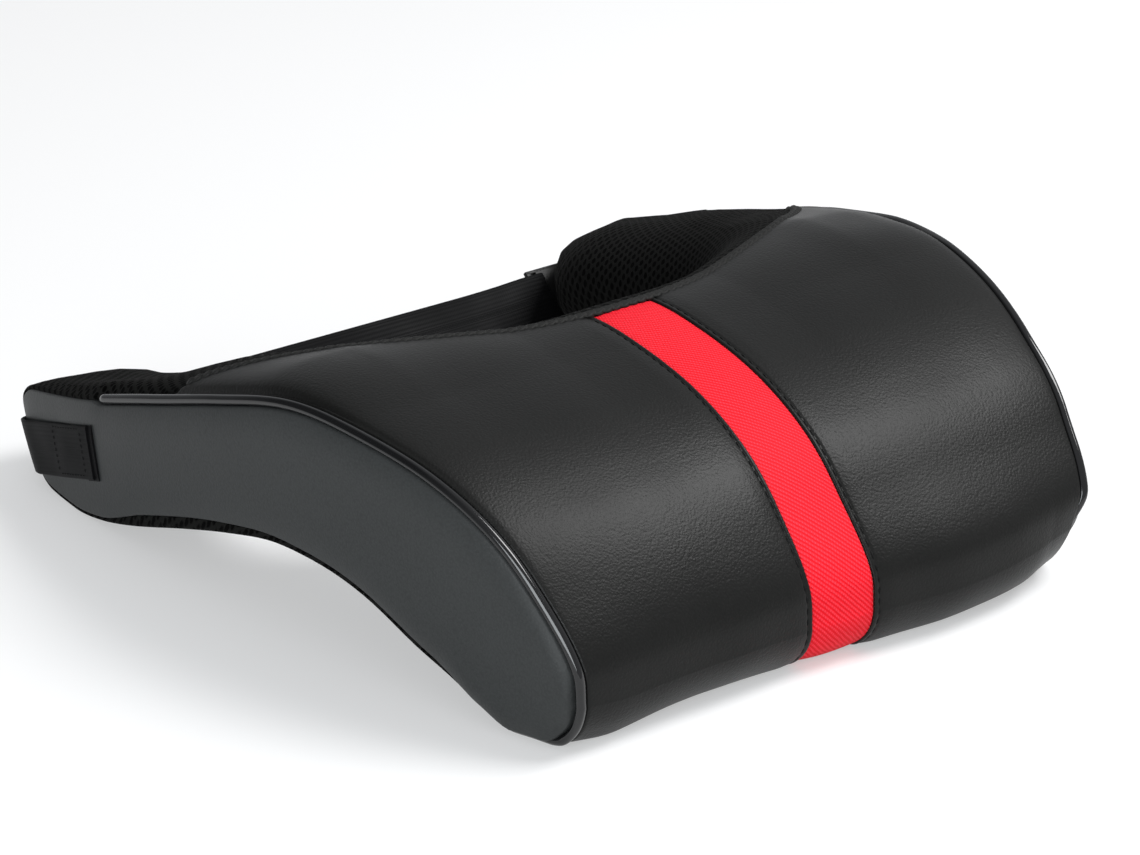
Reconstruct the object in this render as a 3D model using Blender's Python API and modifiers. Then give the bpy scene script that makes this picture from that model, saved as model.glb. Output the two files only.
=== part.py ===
"""U-shaped neck pillow for a car seat, at rest on its thick closed end and its two arm tips.

Metres, +Z up, X across the pillow, the closed end toward -Y and the arm tips toward +Y.
The origin lies on the ground below the middle of the whole pillow.
A foam body is covered by leather, mesh and one woven stripe. A strap joins the arm tips.
"""

import math

import bmesh
import bpy
import numpy as np
from mathutils import Vector

# Overall sizes of the stuffed body
LENGTH = 0.320  # front of the closed end to the arm tips
HEIGHT = 0.095  # ground to the highest point of the top
ARCH_RISE = 0.0355  # clear height under the arch
TIP_HEIGHT = 0.0385  # ground to the top edge of an arm tip
NOSE_HEIGHT = 0.019  # ground to the foremost point of the closed end
FRONT_WIDTH = 0.234  # across the closed end
ARM_WIDTH = 0.301  # across both arms, where they are widest
TIP_WIDTH = 0.290  # across both arm tips
WIDEST_Y = 0.245  # where the arms are widest

# Neck opening between the arms
NECK_WIDTH = 0.184
NECK_FRONT_Y = 0.154  # nearest point of the opening to the closed end
NECK_CORNER = 0.060  # length of its round end
TIP_CORNER = 0.038  # round inner corner of an arm tip
INNER_ROUND = 0.024  # how far the inner edge rounds over
ARM_INNER_ROUND = 0.038  # how far it rounds over on an arm
CORNER_ROUND = 0.030  # how far it rounds over at the corner of a tip
END_ROUND = 0.010  # how far the end of a tip rounds over beside the side panel
CROWN = 0.0085  # how much the shoulders swell above the side panels
SHOULDER_ROUND = 0.030  # how far a shoulder rounds down to the side panel
ARM_ROUND = 0.010  # the same on an arm
FRONT_CROWN = 0.003  # how much the front panels swell forward

# Cover
COVER = 0.0026  # thickness of leather, mesh and stripe
GAP = 0.0003  # clearance between two neighbouring pieces
STRIPE_WIDTH = 0.0266
SEAM_Y = 0.127  # seam between leather and mesh, on the middle line
SEAM_BOW = 0.050  # how far it bows back across the shoulders
SEAM_SIDE_Y = 0.205  # the same seam at the side edges
UNDER_SEAM_Y = 0.040  # seam between leather and mesh under the closed end
PIPING_RADIUS = 0.0020
PIPING_INSET = 0.0012  # axis of the piping, in from both outer faces
PIPING_END_Y = 0.2545  # where the piping ends on top of the arm
PIPING_UNDER_Y = 0.036  # where it ends under the closed end

# Strap and slider
STRAP_WIDTH = 0.0215
STRAP_THICKNESS = 0.0012
STRAP_CLEARANCE = 0.0038  # ground to its lower edge
STRAP_LEAN = math.radians(35.0)  # lean of the strap where it crosses a tip
TAB_START_Y = 0.256  # end of the sewn tab on the side panel
TAB_RISE = math.radians(19.0)  # slope of the tab along the arm
TAB_LEAN = math.radians(14.0)
SLIDER_X = 0.1055  # middle of the slider
SLIDER_BAR = 0.0030
SLIDER_MIDDLE = 0.0040
SLIDER_SLOT = 0.0048
SLIDER_RAIL = 0.0019
SLIDER_THICKNESS = 0.0020
TURN_LENGTH = 0.004  # stretch beside a bar where the two layers part
SEWN_BACK = 0.016  # length of strap turned back at the slider

# Profile of a side panel, as shares of the overall sizes
TOP_KNOTS = (
    (0.004, 0.350),
    (0.032, 0.530),
    (0.100, 0.765),
    (0.200, 0.930),
    (0.325, 1.000),
    (0.420, 0.990),
    (0.550, 0.872),
    (0.680, 0.718),
    (0.800, 0.580),
    (0.900, 0.480),
)
TOP_END_KNOT = 0.975  # share of the length where the tip height holds
BOTTOM_KNOTS = (
    (0.005, 0.215),
    (0.018, 0.045),
    (0.034, 0.000),
    (0.085, 0.000),
    (0.130, 0.180),
    (0.190, 0.480),
    (0.260, 0.760),
    (0.340, 0.950),
    (0.400, 1.000),
    (0.460, 0.975),
    (0.540, 0.800),
    (0.630, 0.545),
    (0.730, 0.240),
    (0.810, 0.060),
    (0.855, 0.000),
    (0.905, 0.000),
    (0.935, 0.025),
    (0.955, 0.120),
    (0.975, 0.345),
    (1.000, 0.650),
)
# How much the top swells along the pillow, as shares of the length and of the crown
CROWN_KNOTS = (
    (0.00, 0.00),
    (0.10, 0.20),
    (0.31, 0.38),
    (0.47, 1.00),
    (0.60, 0.95),
    (0.78, 0.60),
    (0.92, 0.20),
    (1.00, 0.00),
)

# Rows of a half loop, from the front of the closed end to the inner edge
FRONT_ROWS = 8
SEAM_ROWS = 16
EDGE_ROWS = 27
SIDE_ROWS = 4
STATIONS = (0.25, 0.38, 0.50, 0.60, 0.69, 0.77, 0.84, 0.885, 0.915, 0.938, 0.96, 0.982, 1.0)
EDGE_POWER = 2.3

COLOURS = {
    "leather": ((0.022, 0.022, 0.021), 0.45),
    "side_leather": ((0.026, 0.028, 0.029), 0.45),
    "woven_red": ((0.80, 0.015, 0.035), 0.60),
    "mesh_fabric": ((0.014, 0.014, 0.014), 0.90),
    "glossy_piping": ((0.012, 0.012, 0.012), 0.12),
    "foam": ((0.80, 0.74, 0.56), 0.90),
    "webbing": ((0.016, 0.016, 0.018), 0.85),
    "plastic": ((0.018, 0.018, 0.018), 0.35),
}


def smooth_curve(knots, steps=10):
    """A centripetal Catmull-Rom curve through the knots, as an array of points."""
    knots = np.array(knots, float)
    ends = [2 * knots[0] - knots[1], *knots, 2 * knots[-1] - knots[-2]]
    points = []
    for p0, p1, p2, p3 in zip(ends, ends[1:], ends[2:], ends[3:]):
        t1 = math.sqrt(np.linalg.norm(p1 - p0))
        t2 = t1 + math.sqrt(np.linalg.norm(p2 - p1))
        t3 = t2 + math.sqrt(np.linalg.norm(p3 - p2))
        for t in np.linspace(t1, t2, steps, endpoint=False):
            a1 = p0 + (p1 - p0) * t / t1
            a2 = p1 + (p2 - p1) * (t - t1) / (t2 - t1)
            a3 = p2 + (p3 - p2) * (t - t2) / (t3 - t2)
            b1 = a1 + (a2 - a1) * t / t2
            b2 = a2 + (a3 - a2) * (t - t1) / (t3 - t1)
            points.append(b1 + (b2 - b1) * (t - t1) / (t2 - t1))
    points.append(ends[-2])
    return np.array(points)


def half_width(y):
    """Half the distance between the side panels."""
    ahead = max(1 - y / WIDEST_Y, 0.0) ** 2.2
    behind = max((y - WIDEST_Y) / (LENGTH - WIDEST_Y), 0.0) ** 2
    return (ARM_WIDTH - (ARM_WIDTH - FRONT_WIDTH) * ahead - (ARM_WIDTH - TIP_WIDTH) * behind) / 2


def neck_edge():
    """Outline of the inner edge, seen from above: from the middle line to an outer tip corner."""
    half_neck = NECK_WIDTH / 2
    points = []
    for angle in np.linspace(0, math.pi / 2, 24):
        x = half_neck * math.sin(angle) ** (2 / EDGE_POWER)
        y = NECK_FRONT_Y + NECK_CORNER * (1 - math.cos(angle) ** (2 / EDGE_POWER))
        points.append((x, y))
    for angle in np.linspace(0, math.pi / 2, 12):
        x = half_neck + TIP_CORNER * (1 - math.cos(angle))
        y = LENGTH - TIP_CORNER * (1 - math.sin(angle))
        points.append((x, y))
    points.append((half_width(LENGTH), LENGTH))
    points = np.array(points)
    run = np.append(0, np.cumsum(np.linalg.norm(np.diff(points, axis=0), axis=1)))
    even = np.linspace(0, run[-1], 241)
    return np.column_stack([np.interp(even, run, points[:, 0]), np.interp(even, run, points[:, 1])])


TOP_LINE = smooth_curve(
    [(0.0, NOSE_HEIGHT)]
    + [(y * LENGTH, z * HEIGHT) for y, z in TOP_KNOTS]
    + [(TOP_END_KNOT * LENGTH, TIP_HEIGHT), (LENGTH, TIP_HEIGHT - 0.03 * HEIGHT)]
)
BOTTOM_LINE = smooth_curve(
    [(0.0, NOSE_HEIGHT)] + [(y * LENGTH, z * ARCH_RISE) for y, z in BOTTOM_KNOTS]
)
NECK_EDGE = neck_edge()
EDGE_SHARE = np.linspace(0, 1, len(NECK_EDGE))
EDGE_ROUND = np.interp(
    EDGE_SHARE,
    [0, 0.25, 0.5, 0.7, 0.9, 1],
    [INNER_ROUND, INNER_ROUND, ARM_INNER_ROUND, ARM_INNER_ROUND, CORNER_ROUND, END_ROUND],
)


def across(u, y):
    """X of station u at length y: straight near the middle, along the side panel at u = 1."""
    front = FRONT_WIDTH / 2
    return u * front + (half_width(y) - front) * u * abs(u) ** 2


def edge_point(u):
    """Point of the inner edge that station u runs to."""
    share = 0.48 * abs(u) + 0.52 * abs(u) ** 7
    x = np.interp(share, EDGE_SHARE, NECK_EDGE[:, 0])
    y = np.interp(share, EDGE_SHARE, NECK_EDGE[:, 1])
    return math.copysign(x, u), y


def seam_y(u):
    return SEAM_Y + SEAM_BOW * u**2 + (SEAM_SIDE_Y - SEAM_Y - SEAM_BOW) * u**12


def plan(u, row):
    """Place of a row of station u, seen from above."""
    if row <= FRONT_ROWS:
        y = UNDER_SEAM_Y * (row / FRONT_ROWS) ** 2.2
        return across(u, y), y
    if row <= SEAM_ROWS:
        share = (row - FRONT_ROWS) / (SEAM_ROWS - FRONT_ROWS)
        y = UNDER_SEAM_Y + (seam_y(u) - UNDER_SEAM_Y) * share
        return across(u, y), y
    share = 1 - (1 - (row - SEAM_ROWS) / (EDGE_ROWS - SEAM_ROWS)) ** 2
    edge_x, edge_y = edge_point(u)
    y = seam_y(u) + (edge_y - seam_y(u)) * share
    return across(u, y) + (edge_x - across(u, edge_y)) * share, y


def edge_offsets(x, y):
    """Distances from a place to each stretch of the neck edge."""
    starts, ends = NECK_EDGE[:-1], NECK_EDGE[1:]
    along = ends - starts
    place = np.array((abs(x), y))
    share = ((place - starts) * along).sum(axis=1) / (along**2).sum(axis=1)
    nearest = starts + along * np.clip(share, 0, 1)[:, None]
    return np.hypot(*(nearest - place).T)


def panel_swell(u):
    """How much a front panel swells at u: nothing at the stripe and at the side panel."""
    stripe = STRIPE_WIDTH / FRONT_WIDTH
    share = np.clip((abs(u) - stripe) / (1 - stripe), 0, 1)
    return 4 * share * (1 - share)


def crown(x, y):
    """Height of the top above the upper line of the side panels."""
    along = np.interp(y / LENGTH, *zip(*CROWN_KNOTS))
    reach = np.interp(y, [SEAM_SIDE_Y, WIDEST_Y], [SHOULDER_ROUND, ARM_ROUND])
    outer = 1 - min((half_width(y) - abs(x)) / reach, 1.0)
    inner = np.interp(abs(x), [0.4 * FRONT_WIDTH / 2, 0.9 * FRONT_WIDTH / 2], [0.22, 1.0])
    return CROWN * along * math.sqrt(max(1 - outer**2, 0.0)) * inner


def height(x, y, top):
    """Height of the outer face, on top or below."""
    z_top = np.interp(y, TOP_LINE[:, 0], TOP_LINE[:, 1])
    z_bottom = max(np.interp(y, BOTTOM_LINE[:, 0], BOTTOM_LINE[:, 1]), 0.0)
    beside = min(abs(x) / half_width(y), 1.0) ** 8
    near_front = np.interp(y, [UNDER_SEAM_Y, 1.8 * UNDER_SEAM_Y], [1, 0])
    low = max(1 - z_bottom / NOSE_HEIGHT, 0.0)
    z_bottom += (PIPING_RADIUS - PIPING_INSET) * beside * near_front * low
    z_top += crown(x, y)
    offsets = edge_offsets(x, y)
    inward = 1 - min((offsets / EDGE_ROUND[1:]).min(), 1.0)
    middle = (z_top + z_bottom) / 2
    swell = (1 - inward**EDGE_POWER) ** (1 / EDGE_POWER) if inward < 0.99999 else 0.0
    return middle + ((z_top if top else z_bottom) - middle) * swell


def skin_point(u, row, top, inset=0.0, shift=0.0):
    """Point of the outer face, drawn in from the side panels by inset and moved along Y by shift."""
    x, y = plan(u, row)
    z = height(x, y + shift, top)
    y -= FRONT_CROWN * panel_swell(u) * max(1 - y / UNDER_SEAM_Y, 0.0)
    return np.array((x - math.copysign(inset * abs(u) ** 8, u), y + shift, z))


def side_loop():
    """Closed outline of the right side, from the tip below the arch to the front and back over the top."""
    rows = [(row, False) for row in range(EDGE_ROWS, 0, -1)] + [(row, True) for row in range(EDGE_ROWS)]
    return np.array([skin_point(1.0, row, top) for row, top in rows])


def loop_normals(loop):
    """Outward normals of the side outline, in the plane of Y and Z."""
    along = np.roll(loop, -1, axis=0) - np.roll(loop, 1, axis=0)
    normals = np.column_stack([np.zeros(len(loop)), along[:, 2], -along[:, 1]])
    normals /= np.linalg.norm(normals, axis=1)[:, None]
    outward = np.sign((normals * (loop - loop.mean(axis=0))).sum())
    return normals * outward


def clear_scene():
    for obj in list(bpy.data.objects):
        bpy.data.objects.remove(obj, do_unlink=True)


def make_material(name):
    colour, roughness = COLOURS[name]
    material = bpy.data.materials.new(name)
    material.use_nodes = True
    shader = material.node_tree.nodes["Principled BSDF"]
    shader.inputs["Base Color"].default_value = (*colour, 1.0)
    shader.inputs["Roughness"].default_value = roughness
    shader.inputs["Metallic"].default_value = 0.0
    return material


def add_object(name, data, material):
    obj = bpy.data.objects.new(name, data)
    obj.data.materials.append(make_material(material))
    bpy.data.collections["neck_pillow"].objects.link(obj)
    obj.location = (0.0, -BASE_MIDDLE_Y, 0.0)
    return obj


def mapped_grid(columns, rows, outer, inner=None):
    """A grid with each point moved to outer(column, row). With inner, a closed sheet between the two."""
    bm = bmesh.new()
    depth = bm.verts.layers.float_vector.new("inner")
    bmesh.ops.create_grid(bm, x_segments=columns - 1, y_segments=rows - 1, size=1.0)
    for vert in bm.verts:
        column = round((vert.co.x + 1) / 2 * (columns - 1))
        row = round((vert.co.y + 1) / 2 * (rows - 1))
        vert.co = outer(column, row)
        if inner:
            vert[depth] = inner(column, row)
    bmesh.ops.remove_doubles(bm, verts=bm.verts, dist=1e-6)
    if inner:
        made = bmesh.ops.extrude_face_region(bm, geom=bm.faces[:], use_keep_orig=True)
        for item in made["geom"]:
            if isinstance(item, bmesh.types.BMVert):
                item.co = item[depth]
        bmesh.ops.recalc_face_normals(bm, faces=bm.faces)
    return bm


def finish_mesh(bm, name):
    bmesh.ops.remove_doubles(bm, verts=bm.verts, dist=1e-6)
    bmesh.ops.dissolve_degenerate(bm, edges=bm.edges, dist=1e-6)
    bmesh.ops.recalc_face_normals(bm, faces=bm.faces)
    mesh = bpy.data.meshes.new(name)
    bm.to_mesh(mesh)
    bm.free()
    return mesh


def half_stations():
    return [STRIPE_WIDTH / FRONT_WIDTH, *STATIONS]


def all_stations():
    half = half_stations()
    return [-u for u in reversed(half)] + [0.0] + half


def loop_rows(first, last):
    """Rows of a loop as (row, on top, shift). A negative row lies below, the others on top."""
    return [(abs(row), row >= 0, 0.0) for row in range(first, last + 1)]


def front_rows():
    """Rows of the front, from the seam below to the seam on top, half a gap short of both."""
    rows = loop_rows(-FRONT_ROWS, SEAM_ROWS)
    rows[0] = (FRONT_ROWS, False, -GAP / 2)
    rows[-1] = (SEAM_ROWS, True, -GAP / 2)
    return rows


def mesh_rows():
    """Rows of the mesh, from the seam on top over the inner edge to the seam below."""
    above = [(row, True, 0.0) for row in range(SEAM_ROWS, EDGE_ROWS + 1)]
    below = [(row, False, 0.0) for row in range(EDGE_ROWS - 1, FRONT_ROWS - 1, -1)]
    above[0] = (SEAM_ROWS, True, GAP / 2)
    below[-1] = (FRONT_ROWS, False, GAP / 2)
    return above + below


def skin_normals():
    """Outward normals of the outer face by station and row, lengthened where it bends."""
    stations = all_stations()
    rows = loop_rows(-EDGE_ROWS, EDGE_ROWS)
    skin = np.array([[skin_point(u, row, top, COVER + GAP) for row, top, _ in rows] for u in stations])
    across_quad = skin[1:, 1:] - skin[:-1, :-1]
    along_quad = skin[:-1, 1:] - skin[1:, :-1]
    flat = np.cross(across_quad, along_quad)
    flat /= np.linalg.norm(flat, axis=2)[:, :, None]
    flat = np.concatenate([flat[:, -1:], flat, flat[:, :1]], axis=1)
    flat = np.concatenate([flat[:1], flat, flat[-1:]], axis=0)
    corners = np.array([flat[:-1, :-1], flat[1:, :-1], flat[:-1, 1:], flat[1:, 1:]])
    normals = corners.sum(axis=0)
    normals /= np.linalg.norm(normals, axis=2)[:, :, None]
    stretch = 1 / np.clip((corners * normals).sum(axis=3).mean(axis=0), 0.8, 1.0)
    return {
        (round(u, 6), row, top): normals[i, j] * stretch[i, j]
        for i, u in enumerate(stations)
        for j, (row, top, _) in enumerate(rows)
    }


def skin_inward(u, row, top, depth):
    """Vector from the outer face straight inward."""
    return -depth * SKIN_NORMALS[round(u, 6), row, top or row == 0]


def core_point(u, row, top):
    """Point of the foam, under the cover."""
    _, y = plan(u, row)
    top = top or row == EDGE_ROWS
    return skin_point(u, row, top, cover_inset(y, top)) + skin_inward(u, row, top, COVER + GAP)


def foam_core():
    """The whole outer form, drawn in by the cover's thickness."""
    stations = all_stations()
    rows = loop_rows(-EDGE_ROWS, EDGE_ROWS)
    core = mapped_grid(
        len(stations), len(rows), lambda i, j: core_point(stations[i], *rows[j][:2])
    )
    for sign in (-1, 1):

        def side_point(column, row, sign=sign):
            below = core_point(sign, column, False)
            above = core_point(sign, column, True)
            return below + (above - below) * row / SIDE_ROWS

        side = mapped_grid(EDGE_ROWS + 1, SIDE_ROWS + 1, side_point)
        mesh = finish_mesh(side, "side")
        core.from_mesh(mesh)
        bpy.data.meshes.remove(mesh)
    bmesh.ops.remove_doubles(core, verts=core.verts, dist=5e-6)
    return add_object("foam_core", finish_mesh(core, "foam_core"), "foam")


def piping_notch(y, top):
    """How far covers stay back from the outer corner: further where the piping runs."""
    start = PIPING_END_Y if top else PIPING_UNDER_Y
    beside = np.interp(y, [start + 0.011, start + 0.016], [1, 0])
    return beside * (PIPING_INSET + PIPING_RADIUS + GAP)


def cover_inset(y, top):
    return max(piping_notch(y, top), COVER + GAP)


def cover_point(u, row, top, shift, depth=0.0):
    """Point of the leather front or the mesh, which stop short of the side panels.

    The shift from a seam grows where the seam runs along the side.
    """
    _, y = plan(u, row)
    apart = shift * (1 + 2 * u**12)
    return skin_point(u, row, top, cover_inset(y, top), apart) + skin_inward(u, row, top, depth)


def cover(name, material, stations, rows, spread=0.0):
    """A sheet of the cover over some stations. spread moves its points along X."""
    across_skin = np.array((1.0, 0.0, 0.0))

    def place(i, j, depth):
        moved = spread * np.sign(stations[i]) * (abs(stations[i]) < 0.5)
        return cover_point(stations[i], *rows[j], depth) + across_skin * moved

    bm = mapped_grid(
        len(stations), len(rows), lambda i, j: place(i, j, 0.0), lambda i, j: place(i, j, COVER)
    )
    return add_object(name, finish_mesh(bm, name), material)


def side_panel(name, sign):
    loop = side_loop()
    normals = loop_normals(loop)

    def place(column, row, depth):
        ends = []
        for index, top in ((EDGE_ROWS - column, False), ((EDGE_ROWS + column) % len(loop), True)):
            ends.append(loop[index] - normals[index] * piping_notch(loop[index][1], top))
        _, y, z = ends[0] + (ends[1] - ends[0]) * row / SIDE_ROWS
        return sign * (half_width(y) - depth), y, z

    bm = mapped_grid(
        EDGE_ROWS + 1,
        SIDE_ROWS + 1,
        lambda i, j: place(i, j, 0.0),
        lambda i, j: place(i, j, COVER),
    )
    return add_object(name, finish_mesh(bm, name), "side_leather")


def piping(name, sign):
    """A round cord along the edge between the front and a side panel."""
    loop = side_loop()
    normals = loop_normals(loop)
    path = loop - normals * PIPING_INSET
    path[:, 0] = [half_width(y) - PIPING_INSET for y in path[:, 1]]
    run = np.append(0, np.cumsum(np.linalg.norm(np.diff(path, axis=0), axis=1)))
    front = int(np.argmin(path[:, 1]))
    start = np.interp(-PIPING_UNDER_Y, -path[: front + 1, 1], run[: front + 1])
    end = np.interp(PIPING_END_Y, path[front:, 1], run[front:])
    inside = [s for s in run if start + 0.002 < s < end - 0.002]
    curve = bpy.data.curves.new(name, "CURVE")
    curve.dimensions = "3D"
    curve.bevel_depth = PIPING_RADIUS
    curve.bevel_resolution = 2
    curve.use_fill_caps = True
    steps = [start, *inside, end]
    spline = curve.splines.new("POLY")
    spline.points.add(len(steps) - 1)
    for point, s in zip(spline.points, steps):
        x, y, z = (np.interp(s, run, path[:, k]) for k in range(3))
        point.co = (sign * x, y, z, 1.0)
    return add_object(name, curve, "glossy_piping")


def strap_frame():
    """Direction across the strap and outward direction where it crosses a tip, and how far out it lies."""
    lean = np.array((0.0, math.sin(STRAP_LEAN), math.cos(STRAP_LEAN)))
    out = np.array((0.0, math.cos(STRAP_LEAN), -math.sin(STRAP_LEAN)))
    reach = max(
        float(np.dot(skin_point(u, row, top), out))
        for u in (1.0, 0.965, 0.93, 0.89, 0.84)
        for row in range(SEAM_ROWS, EDGE_ROWS + 1)
        for top in (False, True)
    )
    return lean, out, reach + GAP + STRAP_THICKNESS / 2


def strap_point(x, depth, offset):
    """Point of the strap at x, depth outward of its main layer, offset across its width."""
    lean, out, reach = STRAP_FRAME
    low = STRAP_CLEARANCE + STRAP_WIDTH / 2 * lean[2]
    along = (low - reach * out[2]) / lean[2]
    return np.array((x, 0.0, 0.0)) + out * (reach + depth) + lean * (along + offset)


def tab_path():
    """Middle points and leans of the tab on a side panel, from its sewn end to the tip corner."""
    _, corner_y, corner_z = strap_point(0.0, 0.0, 0.0)
    path = []
    for share in (0.0, 0.25, 0.5, 0.75, 1.0):
        y = TAB_START_Y + (corner_y - TAB_START_Y) * share
        z = corner_z + (corner_y - y) * math.tan(TAB_RISE)
        path.append((y, z, TAB_LEAN + (STRAP_LEAN - TAB_LEAN) * share**2))
    return path


def bar_depth():
    """How far outward of the strap's main layer the slider lies."""
    return SLIDER_THICKNESS / 2 + GAP + STRAP_THICKNESS / 2


def turn_path(bar_x, toward):
    """(x, depth) of a strap that passes under a bar, turns round it and lies back on itself."""
    depth = bar_depth()
    path = [(bar_x - toward * (SLIDER_BAR / 2 + TURN_LENGTH), 0.0), (bar_x, 0.0)]
    for angle in np.linspace(0, math.pi, 7):
        reach = SLIDER_BAR / 2 + (GAP + STRAP_THICKNESS / 2) * math.sin(angle)
        path.append((bar_x + toward * reach, depth * (1 - math.cos(angle))))
    path.append((bar_x - toward * SLIDER_BAR / 2, 2 * depth))
    tail = SLIDER_BAR / 2 + TURN_LENGTH
    path.append((bar_x - toward * tail, STRAP_THICKNESS + GAP))
    path.append((bar_x - toward * (tail + SEWN_BACK), STRAP_THICKNESS + GAP))
    return path


def strap(name, sign, bar_x, toward):
    """A strap from its tab round the tip to a bar of the slider, turned back there."""
    tab = tab_path()
    turn = turn_path(bar_x, toward)

    def place(column, row):
        offset = (column - 0.5) * STRAP_WIDTH
        if row >= len(tab):
            return strap_point(*turn[row - len(tab)], offset)
        y, z, lean = tab[row]
        y += math.sin(lean) * offset
        z += math.cos(lean) * offset
        return sign * (half_width(y) + GAP + STRAP_THICKNESS / 2), y, z

    obj = add_object(name, finish_mesh(mapped_grid(2, len(tab) + len(turn), place), name), "webbing")
    solidify = obj.modifiers.new("thickness", "SOLIDIFY")
    solidify.thickness = STRAP_THICKNESS
    solidify.offset = 0.0
    solidify.use_even_offset = True
    return obj


def slider_bars():
    """X of the middle lines of the slider's two outer bars."""
    apart = SLIDER_MIDDLE / 2 + SLIDER_SLOT + SLIDER_BAR / 2
    return SLIDER_X - apart, SLIDER_X + apart


def strap_slider():
    """A flat frame with two slots and a middle bar."""
    left, right = slider_bars()
    length = right - left + SLIDER_BAR
    slot = STRAP_WIDTH + 2 * GAP
    width = slot + 2 * SLIDER_RAIL
    bm = bmesh.new()
    bmesh.ops.create_cube(bm, size=1.0)
    bmesh.ops.scale(bm, vec=(length, SLIDER_THICKNESS, width), verts=bm.verts)
    bmesh.ops.bevel(bm, geom=bm.edges, offset=0.0005, segments=1, affect="EDGES")
    frame = add_object("strap_slider", finish_mesh(bm, "strap_slider"), "plastic")
    frame.rotation_euler = (-STRAP_LEAN, 0.0, 0.0)
    frame.location += Vector(strap_point(SLIDER_X, bar_depth(), 0.0))
    for name, side in (("slot_left", -1), ("slot_right", 1)):
        cutter_mesh = bmesh.new()
        bmesh.ops.create_cube(cutter_mesh, size=1.0)
        size = (SLIDER_SLOT, 4 * SLIDER_THICKNESS, slot)
        bmesh.ops.scale(cutter_mesh, vec=size, verts=cutter_mesh.verts)
        cutter = bpy.data.objects.new(name, finish_mesh(cutter_mesh, name))
        cutter.parent = frame
        cutter.location = (side * (SLIDER_MIDDLE + SLIDER_SLOT) / 2, 0.0, 0.0)
        cutter.hide_render = True
        cutter.display_type = "WIRE"
        bpy.data.collections["cutters"].objects.link(cutter)
        boolean = frame.modifiers.new(name, "BOOLEAN")
        boolean.operation = "DIFFERENCE"
        boolean.solver = "EXACT"
        boolean.object = cutter
    return frame


SKIN_NORMALS = skin_normals()
STRAP_FRAME = strap_frame()
BACK_Y = strap_point(0.0, bar_depth() + SLIDER_THICKNESS / 2, STRAP_WIDTH / 2 + GAP + SLIDER_RAIL)[1]
BASE_MIDDLE_Y = (BACK_Y - FRONT_CROWN) / 2


def main():
    clear_scene()
    for name in ("neck_pillow", "cutters"):
        collection = bpy.data.collections.new(name)
        bpy.context.scene.collection.children.link(collection)
    foam_core()
    edge = half_stations()
    cover("front_panel_left", "leather", [-u for u in reversed(edge)], front_rows(), GAP / 2)
    cover("front_panel_right", "leather", edge, front_rows(), GAP / 2)
    cover("centre_stripe", "woven_red", (-edge[0], 0.0, edge[0]), front_rows(), -GAP / 2)
    cover("mesh_panel", "mesh_fabric", all_stations(), mesh_rows())
    for name, sign in (("left", -1), ("right", 1)):
        side_panel("side_panel_" + name, sign)
        piping("piping_" + name, sign)
    left_bar, right_bar = slider_bars()
    strap("strap_elastic", -1, left_bar, 1)
    strap("strap_anchor", 1, right_bar, -1)
    strap_slider()


main()
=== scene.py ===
import math

import bmesh
import bpy
import numpy as np
from mathutils import Matrix, Vector


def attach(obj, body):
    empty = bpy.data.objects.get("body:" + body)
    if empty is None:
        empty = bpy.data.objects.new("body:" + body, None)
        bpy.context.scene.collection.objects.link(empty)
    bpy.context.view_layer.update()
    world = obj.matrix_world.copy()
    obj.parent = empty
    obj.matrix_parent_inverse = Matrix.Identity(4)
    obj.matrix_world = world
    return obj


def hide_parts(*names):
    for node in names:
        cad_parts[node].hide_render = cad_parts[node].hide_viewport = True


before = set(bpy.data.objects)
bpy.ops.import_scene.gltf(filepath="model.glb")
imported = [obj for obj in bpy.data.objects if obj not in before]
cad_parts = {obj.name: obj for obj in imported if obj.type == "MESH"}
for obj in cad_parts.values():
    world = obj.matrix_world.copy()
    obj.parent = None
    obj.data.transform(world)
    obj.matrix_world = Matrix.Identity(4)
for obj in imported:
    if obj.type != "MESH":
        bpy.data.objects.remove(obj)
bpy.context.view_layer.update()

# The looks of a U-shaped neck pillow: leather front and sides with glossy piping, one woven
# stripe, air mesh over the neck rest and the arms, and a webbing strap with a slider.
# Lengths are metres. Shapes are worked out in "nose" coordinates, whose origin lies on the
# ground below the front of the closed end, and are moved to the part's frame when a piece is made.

NOSE = np.array((0.0, -0.159985, 0.0))  # the nose origin in the part's frame
MIRROR = np.array((-1.0, 1.0, 1.0))

# Sizes shared with the part
LENGTH = 0.320
HEIGHT = 0.095
ARCH_RISE = 0.0355
TIP_HEIGHT = 0.0385
NOSE_HEIGHT = 0.019
FRONT_WIDTH = 0.234
ARM_WIDTH = 0.301
TIP_WIDTH = 0.290
WIDEST_Y = 0.245
NECK_WIDTH = 0.184
NECK_FRONT_Y = 0.154
NECK_CORNER = 0.060
TIP_CORNER = 0.038
INNER_ROUND = 0.024
ARM_INNER_ROUND = 0.038
CORNER_ROUND = 0.030
END_ROUND = 0.010
CROWN = 0.0085
SHOULDER_ROUND = 0.030
ARM_ROUND = 0.010
FRONT_CROWN = 0.003
STRIPE_WIDTH = 0.0266
SEAM_Y = 0.127
SEAM_BOW = 0.050
SEAM_SIDE_Y = 0.205
UNDER_SEAM_Y = 0.040
PIPING_RADIUS = 0.0020
PIPING_INSET = 0.0012
PIPING_END_Y = 0.2545
PIPING_UNDER_Y = 0.036
STRAP_WIDTH = 0.0215
STRAP_THICKNESS = 0.0012
STRAP_CLEARANCE = 0.0038
STRAP_LEAN = math.radians(35.0)
TAB_START_Y = 0.256
TAB_RISE = math.radians(19.0)
TAB_LEAN = math.radians(14.0)
SLIDER_X = 0.1100  # 4.5 mm further right than the part's
SLIDER_BAR = 0.0030
SLIDER_MIDDLE = 0.0040
SLIDER_SLOT = 0.0048
SLIDER_RAIL = 0.0019
SLIDER_THICKNESS = 0.0020
GAP = 0.0003
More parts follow.
